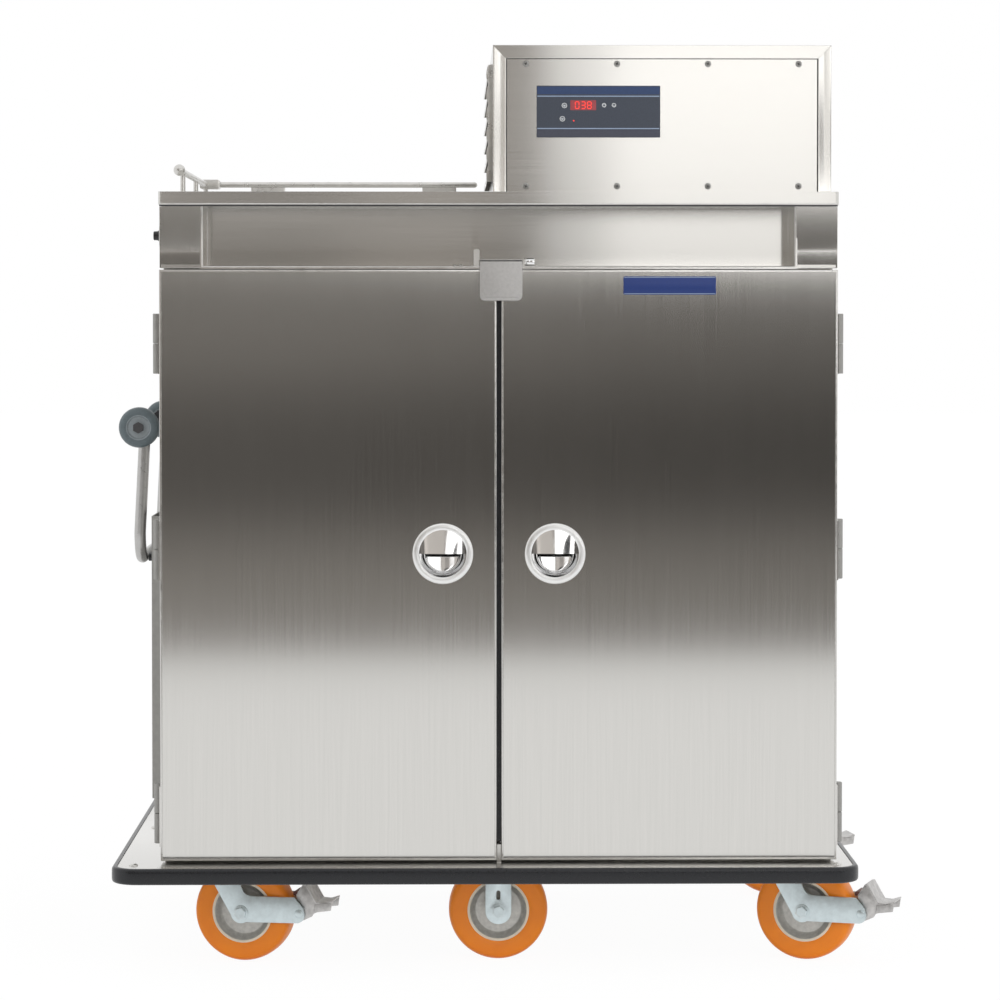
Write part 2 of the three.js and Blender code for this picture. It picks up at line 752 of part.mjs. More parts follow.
function doorPanel(to) {
  const inner = doorGap / 2;
  const panel = block(across(to, inner, doorOuter), [0, doorThickness], [doorBottom, doorTop]);
  const pullX = to * (inner + pullInset);
  const holeRadius = cupRadius + pullSheet + fit;
  const holeEnd = cupDepth + pullSheet + fit;
  const profile = [[0, -past], [holeRadius, -past], [holeRadius, holeEnd], [0, holeEnd]];
  const hole = turn(profile, pullSides);
  hole.translate(pullX, 0, pullHeight);
  const parts = [cut(panel, hole)];
  for (const level of Object.values(hingeLevels)) {
    const leafX = across(to, doorOuter - past, doorOuter + hingeLeaf);
    const leafEnd = hingeY - hingeOut;
    parts.push(block(leafX, [leafEnd - hingeLeafWidth, leafEnd], [level - hingeHalf, level + hingeHalf]));
    const upperZ = [level + fit, level + hingeHalf];
    const web = block(leafX, [leafEnd - past, hingeY], upperZ);
    const knuckle = barZ(hingeRadius, to * hingeX, hingeY, upperZ);
    const linkY = [hingeY - hingeRadius, hingeY - hingeRadius + hingeLeaf];
    const link = block(across(to, doorOuter, hingeX), linkY, upperZ);
    const bore = barZ(boreFor(hingePin), to * hingeX, hingeY, [level, level + hingeHalf + past]);
    parts.push(cut(join(web, knuckle, link), bore));
  }
  return join(...parts);
}

function frameHinge(to, level) {
  const leafX = across(to, side, side + hingeLeaf);
  const leafStart = hingeY + hingeOut;
  const leaf = block(leafX, [leafStart, leafStart + hingeLeafWidth], [level - hingeHalf, level + hingeHalf]);
  const lowerZ = [level - hingeHalf, level];
  const knuckle = barZ(hingeRadius, to * hingeX, hingeY, lowerZ);
  const linkY = [hingeY + hingeRadius - hingeLeaf, hingeY + hingeRadius];
  const link = block(across(to, side + fit, hingeX), linkY, lowerZ);
  const web = block(leafX, [linkY[0], leafStart + past], lowerZ);
  const pin = barZ(hingePin, to * hingeX, hingeY, [level - past, level + hingeHalf - hingePin]);
  return join(leaf, knuckle, link, web, pin);
}

function doorGasket(to) {
  const freeEdge = doorGap / 2;
  const outerX = across(to, freeEdge + fit, side - gasketInset);
  const outerZ = [panUnderside + gasketInset, housingBottom - gasketInset * 2];
  const y = [doorThickness, bodyFront - fit];
  const frame = block(outerX, y, outerZ);
  const opening = block(grow(outerX, -gasketWidth), grow(y, past), grow(outerZ, -gasketWidth));
  const lipY = [doorThickness - gasketLipDepth, y[1]];
  const lip = block(across(to, fit, freeEdge), lipY, [doorBottom + stopTabHeight, outerZ[1]]);
  const root = block(across(to, freeEdge - past, freeEdge + gasketThickness), y, outerZ);
  return join(cut(frame, opening), lip, root);
}

// A chrome cup with a domed hood over its upper half; fingers go up behind the hood.
function doorPull() {
  const t = pullSheet;
  const r = cupRadius;
  const bowl = turn([
    [0, cupDepth],
    [r * 0.6, cupDepth - 2],
    [r * 0.92, cupDepth * 0.65],
    [r, cupDepth * 0.25],
    [r, -0.2],
    [r + 2.5, -t],
    [pullRadius - 5, -t],
    [pullRadius, -0.5],
    [pullRadius, 0],
    [r + t, 0],
    [r + t, cupDepth * 0.3],
    [(r + t) * 0.95, cupDepth * 0.7 + 1],
    [r * 0.65, cupDepth],
    [0, cupDepth + t],
  ], pullSides);
  const rim = r + t / 2;
  const dome = turn([
    [0, -hoodDome - t],
    [r * 0.6, -hoodDome * 0.7 - t],
    [rim, -t],
    [rim, 3],
    [r - 1.2, 3],
    [r - 1.2, 0.2],
    [r * 0.6, 0.5 - hoodDome * 0.7],
    [0, 0.5 - hoodDome],
  ], pullSides);
  dome.rotateY(Math.PI / pullSides / 2); // so that its facets cross the bowl's cleanly
  const lower = block([-pullRadius, pullRadius], [-20, 20], [-pullRadius, 0]);
  return join(bowl, cut(dome, lower));
}

function doors() {
  for (const [hand, to] of [["left", -1], ["right", 1]]) {
    place(hand + "_door", doorPanel(to), stainless);
    place(hand + "_door_gasket", doorGasket(to), blackRubber);
    const pull = place(hand + "_door_pull", doorPull(), chrome);
    pull.position.set(to * (doorGap / 2 + pullInset), 0, pullHeight);
    for (const [level, z] of Object.entries(hingeLevels)) {
      place(hand + "_hinge_" + level, frameHinge(to, z), stainless);
    }
  }
}

// ---- Latch -------------------------------------------------------------------------------------

const recessFloorZ = housingBottom + recessFloor;
const latchPinZ = recessFloorZ + latchBase + fit + latchKnuckle;
const latchX = [latchLeft, latchLeft + latchWidth];

function latchPlate() {
  const front = -latchToDoor - latchSheet;
  const top = latchPinZ + latchKnuckle;
  const bottom = latchPinZ - latchDrop;
  const rolled = front - latchRoll;
  const strap = outline([
    [latchPinY, top],
    [front, top],
    [front, bottom + latchLip + latchSheet],
    [rolled, bottom + latchLip],
    [rolled, bottom],
    [-latchToDoor, bottom],
    [-latchToDoor, top - latchTop],
    [latchPinY, top - latchTop],
  ]);
  const plate = join(carryX(strap, latchX), barX(latchKnuckle, latchX, latchPinY, latchPinZ));
  return cut(plate, barX(boreFor(latchPin), grow(latchX, past), latchPinY, latchPinZ));
}

function latchBracket() {
  const [left, right] = grow(latchX, fit);
  const earY = [latchPinY - latchKnuckle, latchPinY + latchKnuckle];
  const baseX = [left - latchTabWidth - latchEar, right + latchEar * 2 + latchKnobLength];
  const base = block(baseX, [earY[0], earY[1] + latchTabWidth], [recessFloorZ, recessFloorZ + latchBase]);
  const tabZ = [recessFloorZ, recessFloorZ + latchTabHeight];
  const tab = roundedRectangle([left - latchTabWidth, left], tabZ, latchPin);
  const ear = block([right, right + latchEar], earY, [recessFloorZ, latchPinZ + latchKnuckle]);
  const pin = barX(latchPin, [left - past, right + past], latchPinY, latchPinZ);
  const knobX = [right + latchEar - past, right + latchEar + latchKnobLength];
  const knob = barX(latchKnobRadius, knobX, latchPinY, latchPinZ + past);
  return join(base, carryY(tab, earY), ear, pin, knob);
}

// ---- Casters -----------------------------------------------------------------------------------

const forkInner = wheelWidth / 2 + wheelToFork;

function wheel() {
  const r = axleHeight / Math.cos(Math.PI / wheelSides);
  const w = wheelWidth / 2;
  const profile = [
    [axleRadius + fit, -w - hubProud],
    [hubRadius, -w - hubProud],
    [hubRadius + 2, -w * 0.42],
    [rimRadius - 8, -w * 0.42],
    [rimRadius, -w + 1],
    [r - treadShoulder, -w],
    [r, -w * 0.5],
    [r, w * 0.5],
    [r - treadShoulder, w],
    [rimRadius, w - 1],
    [rimRadius - 8, w * 0.42],
    [hubRadius + 2, w * 0.42],
    [hubRadius, w + hubProud],
    [axleRadius + fit, w + hubProud],
    [axleRadius + fit, -w - hubProud],
  ];
  return turn(profile, wheelSides);
}

const nearPlate = [-forkInner - forkPlate, -forkInner];
const farPlate = [forkInner, forkInner + forkPlate];
const bothSides = (make) => [make(nearPlate), make(farPlate)];

function axle(x) {
  const reach = forkInner + forkPlate;
  const headRadius = axleRadius * 1.6;
  return [
    barY(axleRadius, x, [-reach, reach], axleHeight),
    barY(headRadius, x, [-reach - axleHead, past - reach], axleHeight, 6),
    barY(headRadius, x, [reach - past, reach + axleHead], axleHeight, 6),
  ];
}

// A swivel fork: each side plate is a leg that leans back to the axle and an arm that runs on
// past the wheel to carry the brake.
function swivelFork() {
  const x = swivelTrail;
  const z = axleHeight;
  const pinX = x + brakePinReach;
  const top = crownLevel + crownThickness / 2;
  const leg = new THREE.Shape();
  leg.moveTo(-legRear, top);
  leg.absarc(x, z, axleEye, Math.PI * 1.07, Math.PI * 1.68, false);
  leg.lineTo(pinX - 6, z - armDrop);
  leg.quadraticCurveTo(pinX + 11, z - 10, pinX + 8, z + 6);
  leg.lineTo(pinX - 7, z + armRise);
  leg.lineTo(x + axleEye, z + armRise);
  leg.quadraticCurveTo(x + 8, z + armRise + 2, x + 3, z + armRise + 11);
  leg.lineTo(legFront, top);
  const outer = forkInner + forkPlate;
  const crownZ = [crownLevel, crownLevel + crownThickness];
  const crown = block([-legRear, legRear], [-outer, outer], crownZ);
  const race = barZ(raceRadius, 0, 0, [crownZ[0] + past, raceLevel], 14);
  const pin = barY(brakePinRadius, pinX, [-forkInner - past, forkInner + past], z + brakePinRise, 8);
  return join(...bothSides((y) => carryY(leg, y, 5)), crown, race, pin, ...axle(x));
}

// A pressed pedal: two cheeks on the brake pin, a top strip bent out to a lever, and a brake
// shoe that the lever brings up to the tread.
function brakePedal() {
  const x = swivelTrail + brakePinReach;
  const z = axleHeight + brakePinRise;
  const tipX = swivelTrail + pedalReach;
  const halfWidth = forkInner - 2;
  const t = pedalSheet;
  const cheek = outline([
    [x - 8, z - 14],
    [x + 4, z - 12],
    [x + 21, z - 4],
    [x + 25, z + 16],
    [x + 9, z + 44],
    [x - 5, z + 28],
  ]);
  const strip = outline([
    [x - 5, z + 28],
    [x - 5, z + 28 + t * 1.4],
    [x + 9, z + 44 + t * 1.4],
    [x + 25 + t, z + 16 + t],
    [tipX, z + 20 + t],
    [tipX, z + 20],
    [x + 25, z + 16],
    [x + 9, z + 44],
  ]);
  const web = outline([
    [x + 23, z + 17],
    [x + 21, z + 1],
    [tipX - 2, z + 5],
    [tipX, z + 22],
  ]);
  const shoeStart = swivelTrail + axleHeight + shoeGap;
  const shoeY = [t / 2 - halfWidth, halfWidth - t / 2];
  const shoe = block([shoeStart, shoeStart + shoeThickness], shoeY, [z - 14, z - 8]);
  const skins = [[-halfWidth, -halfWidth + t], [halfWidth - t, halfWidth]];
  const cheeks = skins.flatMap((y) => [carryY(cheek, y), carryY(web, y)]);
  const body = join(...cheeks, carryY(strip, [-halfWidth, halfWidth]), shoe);
  return cut(body, barY(boreFor(brakePinRadius), x, [-forkInner, forkInner], z));
}

function rigidFork() {
  const halfWidth = rigidLegHalf;
  const z = axleHeight;
  const plateZ = [casterHeight - casterPlateThickness, casterHeight];
  const halfX = casterPlateWidth / 2;
  const halfY = casterPlateDepth / 2;
  const leg = new THREE.Shape();
  leg.moveTo(-halfWidth, plateZ[0] + past);
  leg.lineTo(-halfWidth, z);
  leg.absarc(0, z, halfWidth, Math.PI, Math.PI * 2, false);
  leg.lineTo(halfWidth, plateZ[0] + past);
  const slot = new THREE.Path();
  slot.moveTo(-3, z + 18).lineTo(3, z + 18).lineTo(3, z + 31).lineTo(-3, z + 31);
  leg.holes.push(slot);
  const plate = block([-halfX, halfX], [-halfY, halfY], plateZ);
  return join(plate, ...bothSides((y) => carryY(leg, y, 6)), ...axle(0));
}

function casters() {
  const swivels = [
    { name: "front_left", x: swivelX[0], y: frontCasterY, yaw: -12 },
    { name: "front_right", x: swivelX[1], y: frontCasterY, yaw: -20 },
    { name: "rear_left", x: swivelX[0], y: rearCasterY, yaw: -60 },
    { name: "rear_right", x: swivelX[1], y: rearCasterY, yaw: 10 },
  ];
  for (const { name, x, y, yaw } of swivels) {
    const caster = new THREE.Group();
    caster.position.set(x, y, 0);
    caster.rotation.z = THREE.MathUtils.degToRad(yaw);
    place(name + "_fork", swivelFork(), zinc, caster);
    place(name + "_wheel", wheel(), tread, caster).position.set(swivelTrail, 0, axleHeight);
    place(name + "_pedal", brakePedal(), steel, caster);
    cart.add(caster);
  }
  for (const [name, y] of [["front_middle", frontCasterY], ["rear_middle", rearCasterY]]) {
    const caster = new THREE.Group();
    caster.position.set(0, y, 0);
    place(name + "_fork", rigidFork(), zinc, caster);
    place(name + "_wheel", wheel(), tread, caster).position.set(0, 0, axleHeight);
    cart.add(caster);
  }
}

// ---- The cart ----------------------------------------------------------------------------------

place("base_deck", baseDeck(), stainless);
place("bumper", bumperRing(), blackRubber);
cabinetPanels();
place("upper_housing", upperHousing(), stainless);
place("worktop", worktop(), stainless);
place("guard_rail", guardRail(), stainless);
trayRack("left_bay_outer_rack", wallThickness - side, 1);
trayRack("left_bay_inner_rack", -dividerThickness / 2, -1);
trayRack("right_bay_inner_rack", dividerThickness / 2, 1);
trayRack("right_bay_outer_rack", side - wallThickness, -1);
refrigerationUnit();
place("duct_cover", ductCover(), stainless);
thermostatDial();
handleParts();
doors();
place("latch_plate", latchPlate(), stainless);
place("latch_bracket", latchBracket(), stainless);
casters();

const reach = new THREE.Box3().setFromObject(cart);
const centre = reach.getCenter(new THREE.Vector3());
cart.position.set(-centre.x, -centre.y, -reach.min.z);

export default cart;
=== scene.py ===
# %% [markdown]
# An enclosed meal tray cart: an insulated two-door cabinet on six casters, with a chiller on its
# worktop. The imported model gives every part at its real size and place. This lesson dresses it:
# round parts get smooth turned meshes, folded sheet gets its grain, and small fasteners are added.

import json
import math

import bmesh
import bpy
from mathutils import Matrix, Vector


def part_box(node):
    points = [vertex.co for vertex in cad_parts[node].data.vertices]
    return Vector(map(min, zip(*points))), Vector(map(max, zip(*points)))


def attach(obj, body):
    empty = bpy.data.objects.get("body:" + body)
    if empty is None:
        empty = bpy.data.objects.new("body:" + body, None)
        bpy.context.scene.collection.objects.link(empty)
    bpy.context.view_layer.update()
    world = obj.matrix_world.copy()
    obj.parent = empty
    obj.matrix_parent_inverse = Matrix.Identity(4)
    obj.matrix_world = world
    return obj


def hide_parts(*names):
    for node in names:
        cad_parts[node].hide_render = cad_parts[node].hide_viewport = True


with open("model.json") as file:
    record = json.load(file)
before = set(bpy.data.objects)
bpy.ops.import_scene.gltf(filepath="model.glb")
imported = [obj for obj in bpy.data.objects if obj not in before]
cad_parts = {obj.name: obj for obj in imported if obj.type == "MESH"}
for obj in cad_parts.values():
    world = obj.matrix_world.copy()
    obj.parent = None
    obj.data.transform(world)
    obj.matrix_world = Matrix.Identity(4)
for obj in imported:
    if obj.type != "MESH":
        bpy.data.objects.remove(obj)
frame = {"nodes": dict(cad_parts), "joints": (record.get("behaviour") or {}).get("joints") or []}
nodes = frame["nodes"]
joints = {joint["name"]: joint for joint in frame["joints"]}
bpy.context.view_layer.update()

# %% [markdown]
# On paper the cart is measured in millimetres from the gap between the doors, from the doors' front
# faces and from the floor. Reading that corner off the doors themselves keeps every added screw in
# place if the cart's origin ever moves.

# %% Measure from the doors
MM = 0.001
gap_x = (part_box("left_door")[1].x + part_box("right_door")[0].x) / 2
front_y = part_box("right_door")[0].y


def at(x, y, z):
    """A point of the cart, from millimetres to the frame's metres."""
    return Vector((gap_x + x * MM, front_y + y * MM, z * MM))


def turn(degrees, axis):
    return Matrix.Rotation(math.radians(degrees), 4, axis)


def shift(x, y, z):
    return Matrix.Translation((x, y, z))


def spot_place(spot, turned_by=None):
    """A matrix for shapes drawn in millimetres about a point given in metres."""
    return Matrix.Translation(spot) @ (turned_by or Matrix.Identity(4)) @ Matrix.Scale(MM, 4)


def cart_place(x=0, y=0, z=0, turned_by=None):
    """The same about a point of the cart in millimetres."""
    return spot_place(at(x, y, z), turned_by)


def span(name):
    """A node's lowest and highest corners on paper, in millimetres."""
    return [((c.x - gap_x) / MM, (c.y - front_y) / MM, c.z / MM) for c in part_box(name)]


cart = cart_place()
print("door gap at x =", round(gap_x, 4), "door fronts at y =", round(front_y, 4))

# %% [markdown]
# Brushed stainless steel shows fine lines left by the belt. They blur a reflection across the lines
# and leave it sharp along them. The shader does that with anisotropy. The lines themselves come from
# noise stretched along the grain, which moves the roughness, the colour and a very shallow bump.


# %% Brushed sheet
def shader_of(name, color, metallic, roughness):
    """A new material with its main shader; returns both, ready for more nodes."""
    material = bpy.data.materials.new(name)
    material.use_nodes = True
    shader = material.node_tree.nodes["Principled BSDF"]
    shader.inputs["Base Color"].default_value = (*color, 1)
    shader.inputs["Metallic"].default_value = metallic
    shader.inputs["Roughness"].default_value = roughness
    return material, shader


def add(tree, kind, inputs=None, **settings):
    """A new node. Its inputs take values, or outputs of other nodes, which are then linked."""
    made = tree.nodes.new("ShaderNode" + kind)
    for name, value in settings.items():
        setattr(made, name, value)
    for name, value in (inputs or {}).items():
        if isinstance(value, bpy.types.NodeSocket):
            tree.links.new(value, made.inputs[name])
        else:
            made.inputs[name].default_value = value
    return made.outputs


def stretched_noise(material, scale):
    """Noise fixed to the object, stretched by three scales in lines per metre."""
    tree = material.node_tree
    coordinates = add(tree, "TexCoord")["Object"]
    spread = add(tree, "Mapping", {"Vector": coordinates, "Scale": scale})["Vector"]
    return add(tree, "TexNoise", {"Vector": spread, "Scale": 1.0, "Detail": 4.0})["Fac"]


def set_stops(ramp, stops):
    """Puts (position, colour) pairs on a colour ramp."""
    while len(ramp.elements) < len(stops):
        ramp.elements.new(0.5)
    for element, (position, color) in zip(ramp.elements, stops):
        element.position = position
        element.color = (*color, 1)


def vary(material, shader, factor, roughness, dark, light):
    """Noise moves the roughness between two values and the colour between two tones."""
    tree = material.node_tree
    ends = {"From Min": 0.3, "From Max": 0.7, "To Min": roughness[0], "To Max": roughness[1]}
    result = add(tree, "MapRange", {"Value": factor, **ends})["Result"]
    tree.links.new(result, shader.inputs["Roughness"])
    tones = tree.nodes.new("ShaderNodeValToRGB")
    set_stops(tones.color_ramp, ((0.3, dark), (0.7, light)))
    tree.links.new(factor, tones.inputs["Fac"])
    tree.links.new(tones.outputs["Color"], shader.inputs["Base Color"])


def relief(material, shader, factor, depth, edge=0.0):
    """A shallow bump from noise, on edges that are rounded by a small radius."""
    tree = material.node_tree
    inputs = {"Height": factor, "Strength": 1.0, "Distance": depth}
    if edge:
        inputs["Normal"] = add(tree, "Bevel", {"Radius": edge}, samples=4)["Normal"]
    tree.links.new(add(tree, "Bump", inputs)["Normal"], shader.inputs["Normal"])


def tone(color, factor):
    return tuple(min(1.0, channel * factor) for channel in color)


STEEL = (0.66, 0.65, 0.625)


def brushed(name, grain, edge=0.0012):
    """Stainless sheet whose grain runs along Z (upright) or level with the floor."""
    upright = grain == "upright"
    roughness, ripple = 0.17, 0.012
    material, shader = shader_of(name, STEEL, 1.0, roughness)
    shader.inputs["Anisotropic"].default_value = 1.0
    shader.inputs["Anisotropic Rotation"].default_value = 0.0 if upright else 0.25
    tree = material.node_tree
    tangent = add(tree, "Tangent", direction_type="RADIAL", axis="Z")["Tangent"]
    tree.links.new(tangent, shader.inputs["Tangent"])
    factor = stretched_noise(material, (900, 900, 7) if upright else (7, 7, 900))
    ends = (roughness - ripple, roughness + ripple)
    vary(material, shader, factor, ends, tone(STEEL, 0.97), tone(STEEL, 1.02))
    relief(material, shader, factor, 0.0000004, edge)
    return material


door_steel = brushed("door_steel", "upright")
case_steel = brushed("case_steel", "level")
post_steel = brushed("post_steel", "upright", edge=0.0)
print("brushed sheets:", door_steel.name, case_steel.name)

# %% [markdown]
# The other finishes are simpler. Each gets the same two steps, a base shader and noise at the scale
# of its real texture: zinc plate is cloudy, rubber is dull with a faint mottle, the moulded wheels
# have a soft gloss, and chrome is nearly a mirror.


# %% Other finishes
def mottled(name, color, metallic, roughness, scale, depth=10, change=0.08, edge=0.0):
    """A finish clouded by noise: spots per metre, depth in thousandths of a mm, change as a share."""
    material, shader = shader_of(name, color, metallic, roughness)
    factor = stretched_noise(material, (scale, scale, scale))
    ends = (max(0.02, roughness - 0.05), min(1.0, roughness + 0.05))
    vary(material, shader, factor, ends, tone(color, 1 - change), tone(color, 1 + change))
    relief(material, shader, factor, depth * 1e-6, edge)
    return material


plain_steel = mottled("plain_steel", STEEL, 1.0, 0.3, 60, edge=0.0006)
edge_steel = mottled("edge_steel", (0.66, 0.65, 0.63), 1.0, 0.22, 80, 2, 0.05)
latch_steel = mottled("latch_steel", (0.56, 0.55, 0.54), 1.0, 0.55, 260, 10, 0.07)
tube_steel = mottled("tube_steel", (0.50, 0.495, 0.485), 1.0, 0.32, 120, 5, 0.06)
hinge_steel = mottled("hinge_steel", (0.36, 0.355, 0.34), 0.8, 0.5, 120, 5, 0.08)
satin_chrome = mottled("satin_chrome", (0.9, 0.9, 0.89), 1.0, 0.36, 90, 2, 0.03)
chrome = mottled("chrome", (0.86, 0.86, 0.86), 1.0, 0.07, 25, 2, 0.02)
zinc = mottled("zinc_plate", (0.63, 0.71, 0.73), 1.0, 0.38, 90, 10, 0.1)
worn_steel = mottled("worn_steel", (0.56, 0.55, 0.54), 1.0, 0.45, 120, 30, 0.2)
dark_sheet = mottled("dark_sheet", (0.11, 0.11, 0.115), 0.9, 0.45, 80, 10, 0.1, 0.0006)
black_rubber = mottled("black_rubber", (0.006, 0.007, 0.010), 0.0, 0.3, 300, 10, 0.2)
grey_rubber = mottled("grey_rubber", (0.13, 0.165, 0.18), 0.0, 0.42, 200, 20, 0.1)
grey_hub = mottled("grey_hub", (0.33, 0.37, 0.39), 0.0, 0.4, 150, 10, 0.08)
orange_tread = mottled("orange_tread", (1.0, 0.262, 0.004), 0.0, 0.42, 40, 30, 0.05)
cream_band = mottled("cream_band", (0.84, 0.76, 0.62), 0.0, 0.4, 60, 20, 0.06)
cast_core = mottled("cast_core", (0.56, 0.55, 0.52), 0.7, 0.5, 150, 60, 0.14)
overlay_film = mottled("overlay_film", (0.040, 0.050, 0.072), 0.0, 0.35, 500, 5, 0.1)
key_film = mottled("key_film", (0.5, 0.52, 0.54), 0.0, 0.4, 400, 5, 0.06)
window_red = mottled("window_red", (0.30, 0.035, 0.045), 0.0, 0.15, 100, 2, 0.1)
knob_black = mottled("knob_black", (0.01, 0.01, 0.01), 0.0, 0.35, 200, 10, 0.2)
plate_blue = mottled("plate_blue", (0.006, 0.030, 0.17), 0.0, 0.35, 600, 0.5, 0.08)
silver_line = mottled("silver_line", (0.30, 0.38, 0.52), 0.3, 0.4, 200, 5, 0.05)
band_blue = mottled("band_blue", (0.018, 0.045, 0.13), 0.0, 0.35, 300, 5, 0.1)
foot_blue = mottled("foot_blue", (0.050, 0.055, 0.080), 0.0, 0.35, 500, 5, 0.1)
shadow_black = mottled("shadow_black", (0.006, 0.006, 0.006), 0.0, 0.7, 100, 10, 0.1)
spring_red = mottled("spring_red", (0.14, 0.05, 0.04), 0.2, 0.5, 150, 30, 0.2)
print(len(bpy.data.materials), "materials")


# %% Glowing digits
digit_red, digit_shader = shader_of("digit_red", (0.5, 0.02, 0.02), 0.0, 0.4)
digit_shader.inputs["Emission Color"].default_value = (1.0, 0.05, 0.03, 1)
digit_shader.inputs["Emission Strength"].default_value = 0.9
grain = stretched_noise(digit_red, (400, 400, 400))
vary(digit_red, digit_shader, grain, (0.35, 0.45), (0.45, 0.02, 0.02), (0.55, 0.02, 0.02))
print("digits glow in", digit_red.name)

# %% [markdown]
# Nodes whose shape is right stay as they are and only change their material. The grain follows how
# the sheet was cut: it stands upright on the doors and the side walls, and lies level on the
# housing, the worktop and the chiller's case.

# %% Dress the nodes that stay
finishes = {
    door_steel: "left_door right_door left_wall right_wall back_wall centre_divider",
    case_steel: "upper_housing worktop unit_housing unit_front_panel base_deck",
    hinge_steel: "duct_cover",
    overlay_film: "control_overlay",
    window_red: "display_window",
    black_rubber: "left_door_gasket right_door_gasket",
    plain_steel: "latch_bracket",
    dark_sheet: "handle_bracket_front handle_bracket_rear",
}
finish_of = {name: material for material, names in finishes.items() for name in names.split()}
for name in nodes:
    if name.endswith("_rack"):
        finish_of[name] = plain_steel
    if name.endswith("_key"):
        finish_of[name] = key_film
for name, material in finish_of.items():
    nodes[name].data.materials.clear()
    nodes[name].data.materials.append(material)
print(len(finish_of), "nodes dressed")

# %% [markdown]
# Every added piece is drawn in millimetres about a handy point, and one matrix puts it on the cart.
# Three ways of making a mesh cover the whole cart: a profile turned about an axis, a flat outline
# given a thickness with its edges rounded over, and a round bar that follows a path.


# %% Turned shapes
def turned(mesh, place, profile, steps=48, closed=False, materials=None):
    """A profile of (radius, y) turned about Y; a closed profile joins its end to its start."""
    rings = []
    for radius, y in profile:
        count = 1 if radius < 1e-6 else steps
        ring = []
        for step in range(count):
            angle = 2 * math.pi * (step + 0.5) / steps
            spot = Vector((radius * math.sin(angle), y, -radius * math.cos(angle)))
            ring.append(mesh.verts.new(place @ spot))
        rings.append(ring)
    pairs = list(zip(rings, rings[1:]))
    if closed:
        pairs.append((rings[-1], rings[0]))
    for index, (inner, outer) in enumerate(pairs):
        for step in range(steps):
            after = (step + 1) % steps
            corners = [inner[step % len(inner)], inner[after % len(inner)]]
            corners += [outer[after % len(outer)], outer[step % len(outer)]]
            face = mesh.faces.new(list(dict.fromkeys(corners)))
            if materials:
                face.material_index = materials[index]


def piece(name, mesh, body, slot, *materials, sharp=35):
    """Closes a mesh off as an object that rides on a body of the cart."""
    bmesh.ops.recalc_face_normals(mesh, faces=mesh.faces)
    data = bpy.data.meshes.new(name)
    mesh.to_mesh(data)
    mesh.free()
    data.polygons.foreach_set("use_smooth", [True] * len(data.polygons))
    data.set_sharp_from_angle(angle=math.radians(sharp))
    for material in materials:
        data.materials.append(material)
    made = bpy.data.objects.new(name, data)
    bpy.context.scene.collection.objects.link(made)
    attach(made, body)
    return made


print("turned shapes ready")


# %% Sheet shapes
def arc(x, z, radius, start, end, steps=10):
    """Points of an arc, with its angles in degrees."""
    sweep = [math.radians(start + (end - start) * step / steps) for step in range(steps + 1)]
    return [(x + radius * math.cos(a), z + radius * math.sin(a)) for a in sweep]


def rounded(x0, x1, z0, z1, radius, steps=5):
    """The outline of a rectangle with round corners."""
    left, right, low, high = x0 + radius, x1 - radius, z0 + radius, z1 - radius
    corners = ((right, low, -90), (right, high, 0), (left, high, 90), (left, low, 180))
    return [spot for x, z, start in corners for spot in arc(x, z, radius, start, start + 90, steps)]


def thicken(mesh, faces, depth):
    """Gives open faces a far side at a depth along Y, and returns its points."""
    raised = bmesh.ops.extrude_face_region(mesh, geom=faces)["geom"]
    lifted = [part for part in raised if isinstance(part, bmesh.types.BMVert)]
    bmesh.ops.translate(mesh, verts=lifted, vec=(0, depth, 0))
    return set(lifted)


def sheet(mesh, place, outline, near, far, round_over=0.4, holes=()):
    """An outline of (x, z) with a thickness from y = near to far and its edges rounded over."""
    edges = []
    for loop in (outline, *holes):
        corners = [mesh.verts.new(Vector((x, near, z))) for x, z in loop]
        edges += [mesh.edges.new(pair) for pair in zip(corners, corners[1:] + corners[:1])]
    filled = bmesh.ops.triangle_fill(mesh, edges=edges, use_beauty=True, use_dissolve=False)
    faces = [part for part in filled["geom"] if isinstance(part, bmesh.types.BMFace)]
    verts = {vert for edge in edges for vert in edge.verts} | thicken(mesh, faces, far - near)
    own = {face for vert in verts for face in vert.link_faces}
    bmesh.ops.recalc_face_normals(mesh, faces=list(own))
    if round_over:
        rims = {
            edge
            for face in own
            for edge in face.edges
            if len(edge.link_faces) == 2 and edge.calc_face_angle(0) > math.radians(50)
        }
        shape = {"offset": round_over, "segments": 2, "profile": 0.5, "clamp_overlap": True}
        made = bmesh.ops.bevel(mesh, geom=list(rims), affect="EDGES", **shape)
        verts = {vert for vert in verts if vert.is_valid} | set(made["verts"])
    for vert in verts:
        vert.co = place @ vert.co


def skin(mesh, first, second):
    """Faces between two loops of as many points."""
    for a, b, c, d in zip(first, first[1:] + first[:1], second[1:] + second[:1], second):
        mesh.faces.new((a, b, c, d))


def hem(mesh, place, x0, x1, z0, z1, section, radius=0):
    """A closed section of (inset, y) carried round a rectangle, with mitred or round corners."""
    loops = []
    for inset, y in section:
        left, right, low, high = x0 + inset, x1 - inset, z0 + inset, z1 - inset
        corners = [(left, low), (right, low), (right, high), (left, high)]
        if radius:
            corners = rounded(left, right, low, high, radius - inset, 8)
        loops.append([mesh.verts.new(place @ Vector((x, y, z))) for x, z in corners])
    for first, second in zip(loops, loops[1:] + loops[:1]):
        skin(mesh, first, second)


def slab(mesh, x0, x1, z0, z1, near, far):
    """A plain sharp-edged rectangle on the cart's front."""
    sheet(mesh, cart, [(x0, z0), (x1, z0), (x1, z1), (x0, z1)], near, far, 0)


print("a rounded rectangle has", len(rounded(0, 10, 0, 10, 2)), "points")


